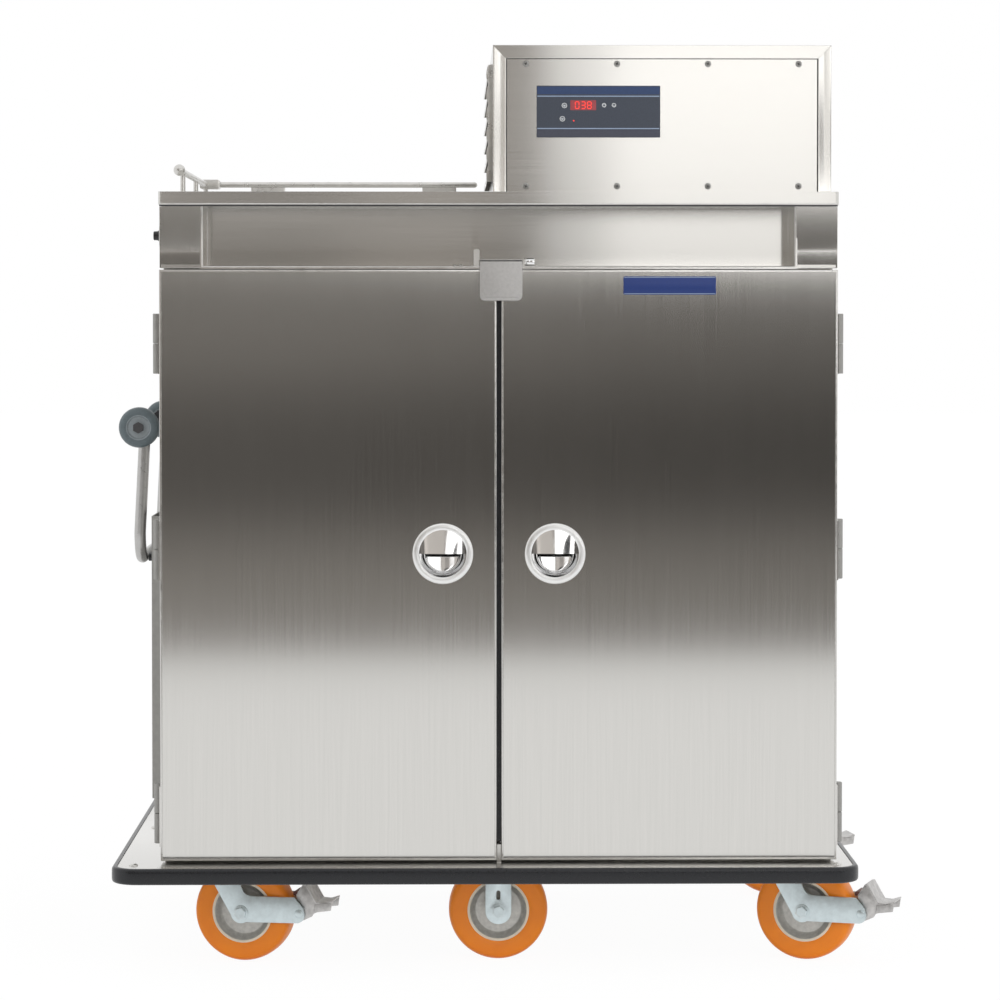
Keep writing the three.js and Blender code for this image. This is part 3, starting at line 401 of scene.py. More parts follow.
# %% Bars along a path
def bar(mesh, place, path, radius, sides=20, ball=True):
    """A round bar along points in millimetres, with domed ends."""
    points = [Vector(point) for point in path]
    ways = [(b - a).normalized() for a, b in zip(points, points[1:])]
    side = ways[0].orthogonal().normalized()
    rings = []
    domes = [(-0.98, 0.2), (-0.75, 0.66), (-0.4, 0.92)] if ball else []
    stations = [(points[0] + ways[0] * radius * back, ways[0], share) for back, share in domes]
    for index, point in enumerate(points):
        before = ways[max(index - 1, 0)]
        after = ways[min(index, len(ways) - 1)]
        stations.append((point, (before + after).normalized(), 1.0))
    for back, share in domes[::-1]:
        stations.append((points[-1] - ways[-1] * radius * back, ways[-1], share))
    for centre, way, share in stations:
        side = (side - way * side.dot(way)).normalized()
        other = way.cross(side)
        ring = []
        for step in range(sides):
            angle = 2 * math.pi * step / sides
            offset = (side * math.cos(angle) + other * math.sin(angle)) * radius * share
            ring.append(mesh.verts.new(place @ (centre + offset)))
        rings.append(ring)
    for first, second in zip(rings, rings[1:]):
        skin(mesh, first, second)
    mesh.faces.new(rings[0][::-1])
    mesh.faces.new(rings[-1])


print("bars ready")

# %% [markdown]
# The six wheels are polyurethane tyres bonded to a cast core. The turned profile has the crowned
# tread, the flat flanks, the pale bonding ring and the dished core with its hub, each with its own
# material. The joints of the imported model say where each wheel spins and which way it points.

# %% Wheel profile
# Points of (radius, half width), out from the hub: core, bonding ring, flank and half the tread.
flank = [(47.5, 21.6), (49, 22.6), (56, 23.6), (66, 24), (70, 23.4)]
flank += [(73.4, 20.6), (75.4, 15), (76.2, 7)]
core_side = [(6.4, 25.4), (15, 25.4), (16, 24.4), (17.5, 13), (20, 11)]
core_side += [(35, 10), (39, 12.5), (42.2, 20), (43.5, 21.4)]
ring_side = [(43.5, 21.4), (44.6, 22.2), (46.6, 22.2), (47.5, 21.6)]
wheel_side = core_side + ring_side[1:] + flank[1:]
wheel_profile = [(r, -w) for r, w in wheel_side] + [(r, w) for r, w in wheel_side[::-1]]
side_zones = [2] * (len(core_side) - 1) + [1] * (len(ring_side) - 1) + [0] * (len(flank) - 1)
wheel_zones = side_zones + [0] + side_zones[::-1] + [2]
print("wheel profile of", len(wheel_profile), "points")


# %% Wheels
def along_axis(joint):
    """A matrix at a joint, with Y along its axis and Z up."""
    y_axis = Vector(joint["axis"]).normalized()
    x_axis = y_axis.cross(Vector((0, 0, 1))).normalized()
    axes = Matrix((x_axis, y_axis, Vector((0, 0, 1))))
    return spot_place(joint["pos_m"], axes.transposed().to_4x4())


wheel_names = [name[: -len("_wheel_spin")] for name in joints if name.endswith("_wheel_spin")]
for name in wheel_names:
    mesh = bmesh.new()
    place = along_axis(joints[name + "_wheel_spin"])
    turned(mesh, place, wheel_profile, 96, True, wheel_zones)
    zones = (orange_tread, cream_band, cast_core)
    wheel = piece(name + "_tyre", mesh, name + "_wheel", "wheel_tread", *zones)
    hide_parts(name + "_wheel")
print("wheels:", wheel_names)

# %% [markdown]
# A swivel fork is pressed from 4 mm plate. Each side has a leg that leans back from the swivel head
# to the axle, and an arm that carries the brake on past the wheel. Drawing one side as an outline
# with true arcs, and giving it the plate's thickness twice, is what the press does too.

# %% Fork sides
AXLE_X, AXLE_Z = 40.0, 76.2
PEDAL_X, PEDAL_Z = 132.0, 78.2
CROWN_Z = span("front_left_fork")[1][2] - 16
FORK_IN, FORK_OUT = 27.0, 31.0
arm = [(80, -13), *arc(88, -0.5, 12.6, -80, 20, 8), (98.5, 10), (85, 26), (16, 26.5)]
arm += [(9, 28.5), (5, 32), (2, 38)]
leg = [(-28, CROWN_Z + 3), *arc(AXLE_X, AXLE_Z, 16, 192, 300, 12)]
leg += [(AXLE_X + x, AXLE_Z + z) for x, z in arm] + [(20, CROWN_Z + 3)]
print("fork leg of", len(leg), "points")


# %% Bolts
def hex_bolt(mesh, place, x, z, y, out):
    """A hexagon head with a chamfered top on a round washer; out is -1 or 1 along Y."""
    size, height = 9.5, 5.5
    spot = place @ shift(x, y, z) @ turn(0 if out > 0 else 180, "X")
    washer = [(0, 0), (size * 1.25, 0), (size * 1.25, 1.2), (size * 1.1, 1.6), (0, 1.6)]
    turned(mesh, spot, washer, 32)
    crown = [(0, 1.6), (size, 1.6), (size, height - 1), (size * 0.86, height), (0, height)]
    turned(mesh, spot @ turn(17, "Y"), crown, 6)


def dome(mesh, place, x, y, z, radius, height, out=-1):
    """A round rivet or screw head that stands out along Y."""
    spot = place @ shift(x, y, z) @ turn(0 if out > 0 else 180, "X")
    curve = [(radius * math.cos(a), height * math.sin(a)) for a in (0, 0.35, 0.75, 1.15)]
    turned(mesh, spot, [(0, -0.4), (radius, -0.4)] + curve + [(0, height)], 24)


def fork_sides(mesh, place, outline, axle_x, holes=()):
    """The two plates of a fork, and the axle with a bolt head on each end."""
    sheet(mesh, place, outline, -FORK_OUT, -FORK_IN, 0.9, holes)
    sheet(mesh, place, outline, FORK_IN, FORK_OUT, 0.9, holes)
    bar(mesh, place, [(axle_x, -FORK_OUT, AXLE_Z), (axle_x, FORK_OUT, AXLE_Z)], 6, 20, False)
    hex_bolt(mesh, place, axle_x, AXLE_Z, -FORK_OUT, -1)
    hex_bolt(mesh, place, axle_x, AXLE_Z, FORK_OUT, 1)


print("bolts and rivets ready")


# %% Swivel forks
def caster_place(name):
    """The caster's own frame: floor under the swivel, X along the trail."""
    swivel = Vector(joints[name + "_swivel_turn"]["pos_m"])
    axis = Vector(joints[name + "_wheel_spin"]["axis"])
    yaw = math.atan2(-axis.x, axis.y)
    return spot_place((swivel.x, swivel.y, 0), Matrix.Rotation(yaw, 4, "Z"))


swivel_names = [name for name in wheel_names if name + "_swivel_turn" in joints]
for name in swivel_names:
    place = caster_place(name)
    mesh = bmesh.new()
    fork_sides(mesh, place, leg, AXLE_X)
    level = place @ shift(0, 0, CROWN_Z) @ turn(90, "X")
    sheet(mesh, level, rounded(-29, 26, -31, 31, 5), 0, 6, 1)
    race = [(0, 1), (30, 1), (33, 3), (34, 6), (34, 11.5), (32, 15), (29, 15.8), (0, 15.8)]
    turned(mesh, level, race, 48)
    pin = (PEDAL_X, -FORK_OUT, PEDAL_Z), (PEDAL_X, FORK_OUT, PEDAL_Z)
    bar(mesh, place, pin, 4, 16, False)
    for end, out in zip(pin, (-1, 1)):
        dome(mesh, place, *end, 6.5, 2.2, out)
    fork = piece(name + "_plate_fork", mesh, name + "_swivel", "zinc_plate", zinc)
    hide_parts(name + "_fork")
print("swivel forks:", swivel_names)

# %% [markdown]
# The brake pedal is one folded pressing: two cheeks on the pin, a strip over their edges, and a
# lever that a foot presses down. The strip is a band with a thickness that follows the cheek's
# outline and then runs out flat. A dark red rubber shoe sits at the tread.

# %% Brake pedals
cheek = [(-8, -13), (4, -12), (19, -5), (23, 2), (25, 16), (9, 43), (5, 43), (-5, 29)]
strip = [(-6, 27.5), (5, 44.5), (9.5, 45.6), (26, 17.5), (38, 16.6), (51, 21)]
strip += [(51, 18.2), (38, 13.8), (24.5, 14.6), (8.4, 42), (6.4, 41.4), (-3.4, 26)]
lever_web = [(23, 15), (21, 1), (48.5, 5), (50.5, 18.4)]
for name in swivel_names:
    spot = caster_place(name) @ shift(PEDAL_X, 0, PEDAL_Z)
    mesh = bmesh.new()
    for near in (-25, 22.2):
        sheet(mesh, spot, cheek, near, near + 2.8, 0.5)
        sheet(mesh, spot, lever_web, near, near + 2.8, 0.5)
    sheet(mesh, spot, strip, -25, 25, 0.6)
    pedal = piece(name + "_pressed_pedal", mesh, name + "_brake", "pedal_steel", worn_steel)
    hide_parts(name + "_pedal")
    mesh = bmesh.new()
    sheet(mesh, spot, rounded(-11.6, -4.5, -13, -5, 1.5), -23, 23, 0.5)
    sheet(mesh, spot, rounded(-11.6, -3, 26, 32, 1.5), -19, 19, 0.5)
    piece(name + "_brake_shoe", mesh, name + "_brake", "pedal_steel", spring_red)
print("brake pedals:", len(swivel_names))

# %% [markdown]
# The two middle casters don't swivel. Their fork is a straight strap with a round end and a slot,
# under a plate that is bolted to the deck.

# %% Rigid forks
plate_top = span("front_middle_fork")[1][2]
strap_top = plate_top - 5
strap = [(-20, strap_top)] + arc(0, AXLE_Z, 20, 180, 360, 20) + [(20, strap_top)]
strap_slot = rounded(-3, 3, AXLE_Z + 18, AXLE_Z + 32, 2.9, 4)
for name in wheel_names:
    if name in swivel_names:
        continue
    hub = Vector(joints[name + "_wheel_spin"]["pos_m"])
    place = spot_place((hub.x, hub.y, 0))
    mesh = bmesh.new()
    fork_sides(mesh, place, strap, 0, [strap_slot])
    level = place @ shift(0, 0, plate_top - 6) @ turn(90, "X")
    sheet(mesh, level, rounded(-55, 55, -48, 48, 6), 0, 6, 0.8)
    for x in (-42, 42):
        for y in (-36, 36):
            head = place @ shift(x, y, plate_top - 6) @ turn(-90, "X")
            turned(mesh, head, [(0, 0), (7, 0), (7, 4), (6, 4.8), (0, 4.8)], 6)
    fork = piece(name + "_strap_fork", mesh, "cart", "zinc_plate", zinc)
    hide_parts(name + "_fork")
print("rigid forks done")

# %% [markdown]
# The bumper is an extruded rubber strip round the whole deck. Its section has a flat back and a
# rounded face, and one section is swept round the rounded rectangle of the deck's edge. Where the
# strip turns a corner, a point further out simply gets a larger corner radius.

# %% Bumper
bumper_low, bumper_high = span("bumper")
wide, deep, height = [high - low for low, high in zip(bumper_low, bumper_high)]
PROUD, DECK_CORNER = 8.3, 32.0
half_x, half_y = wide / 2 - PROUD, deep / 2 - PROUD
section = [(0.3, 0), (4.4, 0), (6.6, 1), (7.9, 3.2), (8.25, 6.5), (PROUD, height / 2)]
section += [(out, height - up) for out, up in section[:-1][::-1]]
centre = cart_place(bumper_low[0] + wide / 2, bumper_low[1] + deep / 2, bumper_low[2], turn(90, "X"))
outward = [(-out, up) for out, up in section]
mesh = bmesh.new()
hem(mesh, centre, -half_x, half_x, -half_y, half_y, outward, DECK_CORNER)
bumper = piece("bumper_strip", mesh, "cart", "black_rubber", black_rubber)
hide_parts("bumper")
print("bumper", round(2 * half_x), "by", round(2 * half_y), "mm inside")

# %% [markdown]
# Sheet steel is folded, never cut square: each door is a pan whose edges are small quarter rounds.
# They turn from the front to the side, so they mirror the bright sky past the dark curtain and draw
# the thin light lines that outline the doors. The same fold runs round the recess and along the
# worktop's lower edge. A picture-frame sweep with mitred corners draws each of them.

# %% Door folds
DOOR_SIDE = 512.0
FOLD_R, FOLD_PROUD = 1.6, 0.48
round_over = arc(FOLD_R - FOLD_PROUD, FOLD_R - FOLD_PROUD, FOLD_R, 180, 270, 6)
door_fold = [(-FOLD_PROUD, 3.4), *round_over, (2.6, -FOLD_PROUD), (3.0, 0.1), (0.2, 0.2), (0.1, 3.4)]
for hand in ("left", "right"):
    (x0, _, z0), (x1, _, z1) = span(hand + "_door")
    if hand == "left":
        x0 = -DOOR_SIDE
    else:
        x1 = DOOR_SIDE
    mesh = bmesh.new()
    hem(mesh, cart, x0, x1, z0, z1, door_fold)
    piece(hand + "_door_fold", mesh, hand + "_door", "stainless", edge_steel)
print("folds round both doors")

# %% Housing posts
# The skins lean back by a hair, as pressed sheet does, so they mirror the curtain and not the window.
worktop_low, worktop_high = span("worktop")
door_top = span("right_door")[1][2]
POST_SIDE, POST_FRONT = 447.0, 1.2
post_z0, post_z1 = door_top + 2.5, worktop_low[2]
mesh = bmesh.new()
lean = cart_place(0, POST_FRONT + 0.4, (post_z0 + post_z1) / 2, turn(1.15, "X"))
post_half = (post_z1 - post_z0) / 2
for sign in (-1, 1):
    x0, x1 = sorted((sign * (POST_SIDE + 2), sign * (DOOR_SIDE - 0.4)))
    sheet(mesh, lean, rounded(x0, x1, 0.3 - post_half, post_half - 3, 0.8, 2), -0.45, 0.4, 0.2)
piece("housing_posts", mesh, "cart", "stainless", post_steel, sharp=15)
print("posts from", round(post_z0), "to", round(post_z1))

# %% Recess fold
RECESS_R = 2.3
opening_fold = [(-4, POST_FRONT), *arc(0.6 - RECESS_R, POST_FRONT + RECESS_R, RECESS_R, -90, 0, 6)]
opening_fold += [(0.6, 7), (-0.3, 7), (-0.3, 2.3), (-4, 2.3)]
mesh = bmesh.new()
hem(mesh, cart, -POST_SIDE, POST_SIDE, post_z0 + 3, post_z1 - 2, opening_fold)
piece("recess_fold", mesh, "cart", "stainless", edge_steel)
# A thin dark strip under the worktop's edge is painted shadow: it stands for the shade in the gap
# under the worktop.
mesh = bmesh.new()
sheet(mesh, cart, rounded(-DOOR_SIDE, DOOR_SIDE, post_z1 - 2.6, post_z1 - 0.1, 0.5, 2), 0.6, 2.1, 0)
piece("worktop_painted_shadow", mesh, "cart", "black_rubber", dark_sheet)
print("fold round the recess")

# %% Worktop fold
mesh = bmesh.new()
lip_y, lip_z = worktop_low[1] + 0.9, post_z1 + 0.9
bar(mesh, cart, [(worktop_low[0] + 4, lip_y, lip_z), (worktop_high[0] - 4, lip_y, lip_z)], 1.3, 16)
piece("worktop_fold", mesh, "cart", "stainless", edge_steel)
print("fold under the worktop's edge")

# %% [markdown]
# The door pulls are the one bright thing on the doors. Each is pressed from one sheet: a satin
# flange, a cup behind it for the fingers, and a hood over the cup's upper half. Hood and cup curve
# mostly from side to side, so the chrome draws upright stripes. Both are heights over a disc, which
# a short function gives, and a back face a sheet's thickness behind closes them.

# %% Door pulls
pull_low, pull_high = span("right_door_pull")
PULL_X, PULL_Z = (pull_low[0] + pull_high[0]) / 2, (pull_low[2] + pull_high[2]) / 2
CUP_R = 36.0


def cup_y(x, z):
    """Depth of the cup behind the flange."""
    rise = min(1.0, (CUP_R - math.hypot(x, z)) / 9)
    hollow = 8 + 6 * (1 - (x / CUP_R) ** 2) + 6 * (1 + z / CUP_R)
    return -1.2 + hollow * math.sin(math.pi / 2 * max(0.0, rise))


def hood_y(x, z):
    """How far the hood stands out before the flange."""
    reach = math.sqrt(max(1e-9, CUP_R**2 - x * x))
    return -1.6 - 5.2 * (1 - (x / CUP_R) ** 2) * (1 - min(1.0, z / reach))


def pressed(mesh, place, height, end, thickness, steps):
    """A disc, or the part of one up to an end in degrees, pressed to a height and given a back."""
    RINGS = 16
    hub = mesh.verts.new((0, height(0, 0), 0))
    rows = []
    for ring in range(1, RINGS + 1):
        points = arc(0, 0, CUP_R * math.sin(math.pi / 2 * ring / RINGS), 0, end, steps)
        if end == 360:
            points.pop()
        row = [mesh.verts.new((x, height(x, z), z)) for x, z in points]
        rows.append(row + row[:1] if end == 360 else row)
    faces = [mesh.faces.new((hub, a, b)) for a, b in zip(rows[0], rows[0][1:])]
    for inner, outer in zip(rows, rows[1:]):
        faces += [mesh.faces.new(quad) for quad in zip(inner, outer, outer[1:], inner[1:])]
    for vert in {vert for face in faces for vert in face.verts} | thicken(mesh, faces, thickness):
        vert.co = place @ vert.co


flange = [(35.6, 1.2), (35.6, -1.3), (36.6, -2.3), (38.6, -3), (41, -2.9)]
flange += [(43.6, -2.3), (45.2, -1.3), (45.9, -0.3), (46, 0.2)]
for hand, sign in (("left", -1), ("right", 1)):
    place = cart_place(sign * PULL_X, 0, PULL_Z)
    mesh = bmesh.new()
    pressed(mesh, place, cup_y, 360, 1.4, 96)
    pressed(mesh, place, hood_y, 180, 1.2, 48)
    pull = piece(hand + "_cup_pull", mesh, hand + "_door", "chrome", chrome, sharp=50)
    mesh = bmesh.new()
    turned(mesh, place, flange, 72, True)
    piece(hand + "_pull_flange", mesh, hand + "_door", "chrome", satin_chrome, sharp=50)
    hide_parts(hand + "_door_pull")
print("two pulls at", round(PULL_X, 1), "mm from the gap")

# %% [markdown]
# The handle is a bent tube that hangs from two pivots on the left side. The path is straight down
# each arm with a quarter bend at the foot, drawn as two arcs. Flattened eyes at the top turn on
# bolts, and outside each eye sits a rubber roller that guards walls.

# %% Push handle path
roller_front = joints["roller_front_spin"]["pos_m"]
roller_rear = joints["roller_rear_spin"]["pos_m"]
PIVOT_X = (roller_front[0] - gap_x) / MM
PIVOT_Z = roller_front[2] / MM
HANDLE_Y = ((roller_front[1] + roller_rear[1]) / 2 - front_y) / MM
ARM, DROP, BEND = 197.0, 206.5, 42.0
top_x, foot_x = PIVOT_X + 7, PIVOT_X - 1.3
bend = arc(BEND - ARM, PIVOT_Z - DROP + BEND, BEND, 180, 270, 8)
path = [(top_x, -ARM, PIVOT_Z - 2)] + [(foot_x, y, z) for y, z in bend]
path += [(x, -y, z) for x, y, z in path[::-1]]
path = [(x, y + HANDLE_Y, z) for x, y, z in path]
print("handle path of", len(path), "points")

# %% Push handle
mesh = bmesh.new()
bar(mesh, cart, path, 9, 24, False)
eye = [(5.3, -9), (13.6, -9), (15, -7.6), (15, 7.6), (13.6, 9), (5.3, 9)]
for side in (-ARM, ARM):
    turned(mesh, cart_place(PIVOT_X, HANDLE_Y + side, PIVOT_Z), eye, 40, True)
handle = piece("folding_handle", mesh, "handle", "stainless", tube_steel)
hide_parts("push_handle")
print("handle hangs from", round(PIVOT_X, 1), round(PIVOT_Z, 1))

# %% Roller bumpers
roller = [(5.3, 10), (14.5, 10), (16.5, 10.4), (17.4, 12.2), (19.5, 13.8)]
roller += [(23, 14), (27, 13), (30, 9.8), (31.5, 4)]
roller_profile = roller + [(r, -w) for r, w in roller[::-1]]
roller_zones = [1] * 4 + [0] * (len(roller_profile) - 9) + [1] * 4 + [1]
for end, sign in (("front", -1), ("rear", 1)):
    mesh = bmesh.new()
    place = spot_place(joints[f"roller_{end}_spin"]["pos_m"])
    turned(mesh, place, roller_profile, 64, True, roller_zones)
    made = piece(end + "_wall_roller", mesh, "roller_" + end, "grey_rubber", grey_rubber, grey_hub)
    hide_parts("roller_bumper_" + end)
    mesh = bmesh.new()
    for x in (-5, 5):
        dome(mesh, place, x, sign * 10, 1.5, 1.6, 0.4, sign)
    piece(end + "_roller_marks", mesh, "roller_" + end, "grey_rubber", shadow_black)
print("rollers on their bolts")

# %% [markdown]
# The guard rail keeps trays on the worktop. It is a bar with a ball at its near end, short posts, a
# corner fitting that joins the two runs, and two plates under the rear run.

# %% Guard rail
BALL_R = 9.0
(rail_x0, rail_y0, deck_z), (rail_end, rail_back, rail_top) = span("guard_rail")
rail_x, rail_y0, rail_z = rail_x0 + BALL_R, rail_y0 + BALL_R, rail_top - BALL_R
rail_y1 = rail_back - 8.5
mesh = bmesh.new()
bar(mesh, cart, [(rail_x, rail_y0, rail_z), (rail_x, rail_y1, rail_z)], 5, 20, False)
bar(mesh, cart, [(rail_x, rail_y1, rail_z), (rail_end - 5, rail_y1, rail_z)], 5, 20)
ball = [(abs(r), y) for r, y in arc(0, 0, BALL_R, -90, 90, 15)]
turned(mesh, cart_place(rail_x, rail_y0, rail_z), ball, 28)
run = rail_y1 - rail_y0
for y in (rail_y0 + run * 0.12, rail_y0 + run * 0.6, rail_y1):
    bar(mesh, cart, [(rail_x, y, deck_z), (rail_x, y, rail_z)], 4, 16, False)
    foot = cart_place(rail_x, y, deck_z, turn(90, "X"))
    turned(mesh, foot, [(0, 0), (8, 0), (8, 1.2), (5.5, 3), (0, 3)], 24)
for share in (0.23, 0.86):
    x = rail_x + (rail_end - rail_x) * share
    sheet(mesh, cart, rounded(x - 29, x + 29, deck_z, rail_z, 3), rail_y1 - 2, rail_y1 + 2, 0.6)
corner = rounded(rail_x - 8.4, rail_x + 25.6, -8, 8, 4)
sheet(mesh, cart_place(0, 0, rail_z), corner, rail_y1 - 25.6, rail_y1 + 8.4, 1.5)
rail = piece("worktop_rail", mesh, "cart", "stainless", plain_steel)
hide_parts("guard_rail")
print("rail from y", round(rail_y0), "to", round(rail_y1))

# %% [markdown]
# Each hinge has a leaf on the frame, a lower knuckle that holds the pin, and an upper knuckle on the
# door. The frame's half is replaced by one with a rounder barrel and countersunk screws; the door
# keeps its knuckle, and a thin sleeve rounds it.

# %% Hinges
HINGE_X, HINGE_Y = 518.5, 40.0
barrel = [(0, 45.5), (6.1, 45.5), (6.8, 44.7), (6.8, 0.7), (6.1, 0), (0, 0)]
sleeve = [(0, 0.5), (6.2, 0.5), (6.9, 1.2), (6.9, 44.9), (6.2, 45.7), (0, 45.7)]
countersunk = [(0, -0.2), (4.4, -0.2), (4, 0.5), (2.4, 0.9), (0, 1)]
link = [(509.4, -43.4), (518.5, -43.4), (518.5, -45.7), (511.7, -45.7), (511.7, -48), (509.4, -48)]
for hand, sign in (("left", -1), ("right", 1)):
    for level in ("upper", "middle", "lower"):
        low, high = span(f"{hand}_hinge_{level}")
        z = (low[2] + high[2]) / 2
        mesh = bmesh.new()
        turned(mesh, cart_place(sign * HINGE_X, HINGE_Y, z, turn(-90, "X")), barrel, 24)
        leaf_place = cart_place(sign * 509, HINGE_Y + 21.5, z, turn(-90 * sign, "Z"))
        sheet(mesh, leaf_place, rounded(-15, 15, -45.5, 45.5, 2), -2.5, 0, 0.4)
        for up in (-30, 0, 30):
            turned(mesh, leaf_place @ shift(0, -2.5, up) @ turn(180, "X"), countersunk, 20)
        link_place = cart_place(0, 0, z - 0.2, turn(90, "X") @ Matrix.Scale(sign, 4, (1, 0, 0)))
        sheet(mesh, link_place, link, -45.3, 0, 0.3)
        made = piece(f"{hand}_{level}_hinge_half", mesh, "cart", "stainless", hinge_steel)
        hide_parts(f"{hand}_hinge_{level}")
        mesh = bmesh.new()
        turned(mesh, cart_place(sign * HINGE_X, HINGE_Y, z, turn(90, "X")), sleeve, 24)
        piece(f"{hand}_{level}_knuckle", mesh, hand + "_door", "stainless", hinge_steel)
print("six hinges")

# %% [markdown]
# The latch is a strap that hangs over both doors from a pin in the recess. Its lower edge is rolled
# so that fingers can lift it. The bracket's knob is turned and bright.

# %% Latch strap
PIN_Y, PIN_Z = 8.0, joints["latch_flip"]["pos_m"][2] / MM
(left, _, bottom), (right, _, top) = span("latch_plate")
mesh = bmesh.new()
face = [(left, top - 1), *arc(left + 8, bottom + 8, 8, 180, 270, 6)]
face += [*arc(right - 8, bottom + 8, 8, 270, 360, 6), (right, top - 1)]
sheet(mesh, cart, face, -4.5, -2.5, 0.5)
sheet(mesh, cart, rounded(left, right, top - 3, top, 1.4, 4), -4.5, PIN_Y + 2, 0.3)
roll = [(left + 7, -4.6, bottom + 2.4), (right - 7, -4.6, bottom + 2.4)]
bar(mesh, cart, roll, 2.2, 16)
pin_tube = [(3.3, -32), (4.5, -32), (4.5, 32), (3.3, 32)]
turned(mesh, cart_place((left + right) / 2, PIN_Y, PIN_Z, turn(90, "Z")), pin_tube, 28, True)
strap_piece = piece("latch_strap", mesh, "latch", "stainless", latch_steel)
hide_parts("latch_plate")
print("latch strap", round(right - left), "mm wide")

# %% Latch bracket trim
mesh = bmesh.new()
knob = [(0, -8), (4.6, -8), (5.9, -7), (6.1, -5), (5.9, 4), (5, 5.4), (3.4, 6), (3.4, 8), (0, 8)]
turned(mesh, cart_place(right + 11.5, PIN_Y, PIN_Z + 1, turn(90, "Z")), knob, 32)
piece("latch_knob", mesh, "cart", "chrome", chrome)
mesh = bmesh.new()
for x in (-66.0, -58.0):
    spot = cart_place(x, 22, PIN_Z - 4.8, turn(-90, "X"))
    turned(mesh, spot, [(0, -0.4), (3.6, -0.4), (3.4, -1), (2.2, -2), (0, -2.3)], 20)
piece("latch_screws", mesh, "cart", "stainless", plain_steel)
print("latch bracket trimmed")

# %% [markdown]
# On the left side of the housing a thermostat dial shows edge-on: a pressed bezel like a shallow
# dome, and a black knob with a pointer line.

# %% Thermostat dial
dial_place = spot_place(joints["dial_turn"]["pos_m"], turn(90, "Z"))
mesh = bmesh.new()
bezel = [(0, -6.2), (26.5, -6.2), (28, -5.6), (27, -3.4)]
bezel += [(23, -1.2), (17, -0.3), (10, -0.2), (0, -0.2)]
turned(mesh, dial_place, bezel, 64)
made = piece("thermostat_bezel", mesh, "cart", "stainless", plain_steel)
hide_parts("dial_bezel")
mesh = bmesh.new()
turned(mesh, dial_place, [(0, 0.1), (8, 0.1), (8, 1.5), (7, 3), (6.8, 8.2), (6, 9), (0, 9)], 40)
made = piece("thermostat_knob", mesh, "dial", "knob_black", knob_black)
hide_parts("dial_knob")
mesh = bmesh.new()
sheet(mesh, dial_place, rounded(-0.5, 0.5, 1, 6.4, 0.4, 3), 8.9, 9.15, 0)
piece("thermostat_pointer", mesh, "dial", "key_film", key_film)
print("dial on the left side")

# %% [markdown]
# The chiller's front is a panel inside a mitred band, held by eight round-head screws. A screw head
# is a dome with a cross recess: two thin black bars, let into the dome, are painted shade for the
# recess.

# %% Panel screws
(_, panel_y, panel_z0), (_, _, panel_z1) = span("unit_front_panel")
mesh, recess = bmesh.new(), bmesh.new()
for x in (40.8, 178.6, 316.2, 453.5):
    for z in (panel_z1 - 8, panel_z0 + 9):
        dome(mesh, cart, x, panel_y, z, 4.9, 2.3, -1)
        # Painted shade: two black bars for the shadow inside each cross recess.
        for angle in (20, 110):
            cross = cart_place(x, panel_y - 1.95, z, turn(angle, "Y"))
            sheet(recess, cross, rounded(-2.4, 2.4, -0.5, 0.5, 0.4, 2), -0.45, 0.25, 0)
piece("panel_screws", mesh, "cart", "stainless", hinge_steel)
piece("panel_screw_recess_shade", recess, "cart", "stainless", shadow_black)
print("8 panel screws")

# %% Louvre flange
(_, band_y, _), (unit_right, _, unit_top) = span("unit_housing")
LOUVRE_TOP, LOUVRE_PITCH = unit_top - 20, 31.0
hump = [(-15, 1), (-16.4, 5), (-17.4, 10), (-17.8, 16), (-17.6, 22), (-15.6, 26)]
wave = [(x, LOUVRE_TOP - LOUVRE_PITCH * count - down) for count in range(6) for x, down in hump]
wave += [(-8.9, LOUVRE_TOP - LOUVRE_PITCH * 5 - 26), (-8.9, LOUVRE_TOP)]
mesh = bmesh.new()
sheet(mesh, cart, wave, 127.4, 129.1, 0.2)
piece("louvre_flange", mesh, "cart", "stainless", plain_steel)
print("flange before the louvres")

# %% Band mitres and painted shade lines
UNIT_LEFT, BAND_W = -9.0, 20.0
panel_left, panel_right, panel_top = UNIT_LEFT + BAND_W, unit_right - BAND_W, unit_top - BAND_W
mesh = bmesh.new()
for x0, x1 in ((UNIT_LEFT, panel_left), (unit_right, panel_right)):
    line = [(x0, unit_top), (x1, panel_top), (x1, panel_top - 0.7), (x0, unit_top - 0.7)]
    sheet(mesh, cart, line, band_y - 0.08, band_y + 0.2, 0)
foot = panel_z0 + 0.2
# The dark lines along the panel's top and sides are painted shade, where the panel sits back behind
# the band; the diagonal lines above are the band's mitre joints.
slab(mesh, panel_left, panel_right, panel_top - 0.9, panel_top, band_y + 1.9, band_y + 2.45)
for x0, x1 in ((panel_left, panel_left + 1.4), (panel_right - 1.4, panel_right)):
    slab(mesh, x0, x1, foot, panel_top, band_y + 1.9, band_y + 2.45)
piece("band_mitres_and_shade_lines", mesh, "cart", "stainless", shadow_black)
mesh = bmesh.new()
dished = [(0.2, 0.1), (0.2, -0.42), (1, -0.5), (3, -0.42), (10, -0.1)]
dished += [(17, -0.42), (19, -0.5), (19.8, -0.42), (19.8, 0.1)]
for edge_x, way in ((UNIT_LEFT, 1), (unit_right, -1)):
    lower, upper = [], []
    for off, y in dished:
        for row, z in ((lower, foot), (upper, unit_top - off - 0.2)):
            row.append(mesh.verts.new(cart @ Vector((edge_x + way * off, band_y + y, z))))
    skin(mesh, lower, upper)
    mesh.faces.new(lower)
    mesh.faces.new(upper[::-1])
piece("band_sides", mesh, "cart", "stainless", door_steel, sharp=25)
print("mitres and dished sides on the band")

# %% [markdown]
# The control overlay is a printed film. Its words are left off. What stays is generic: a blue band
# with pale lines, a dark foot, a red number display, arrows on two keys and rings on the others.

# %% Overlay print
(film_x0, film_y, film_z0), (film_x1, _, film_z1) = span("control_overlay")


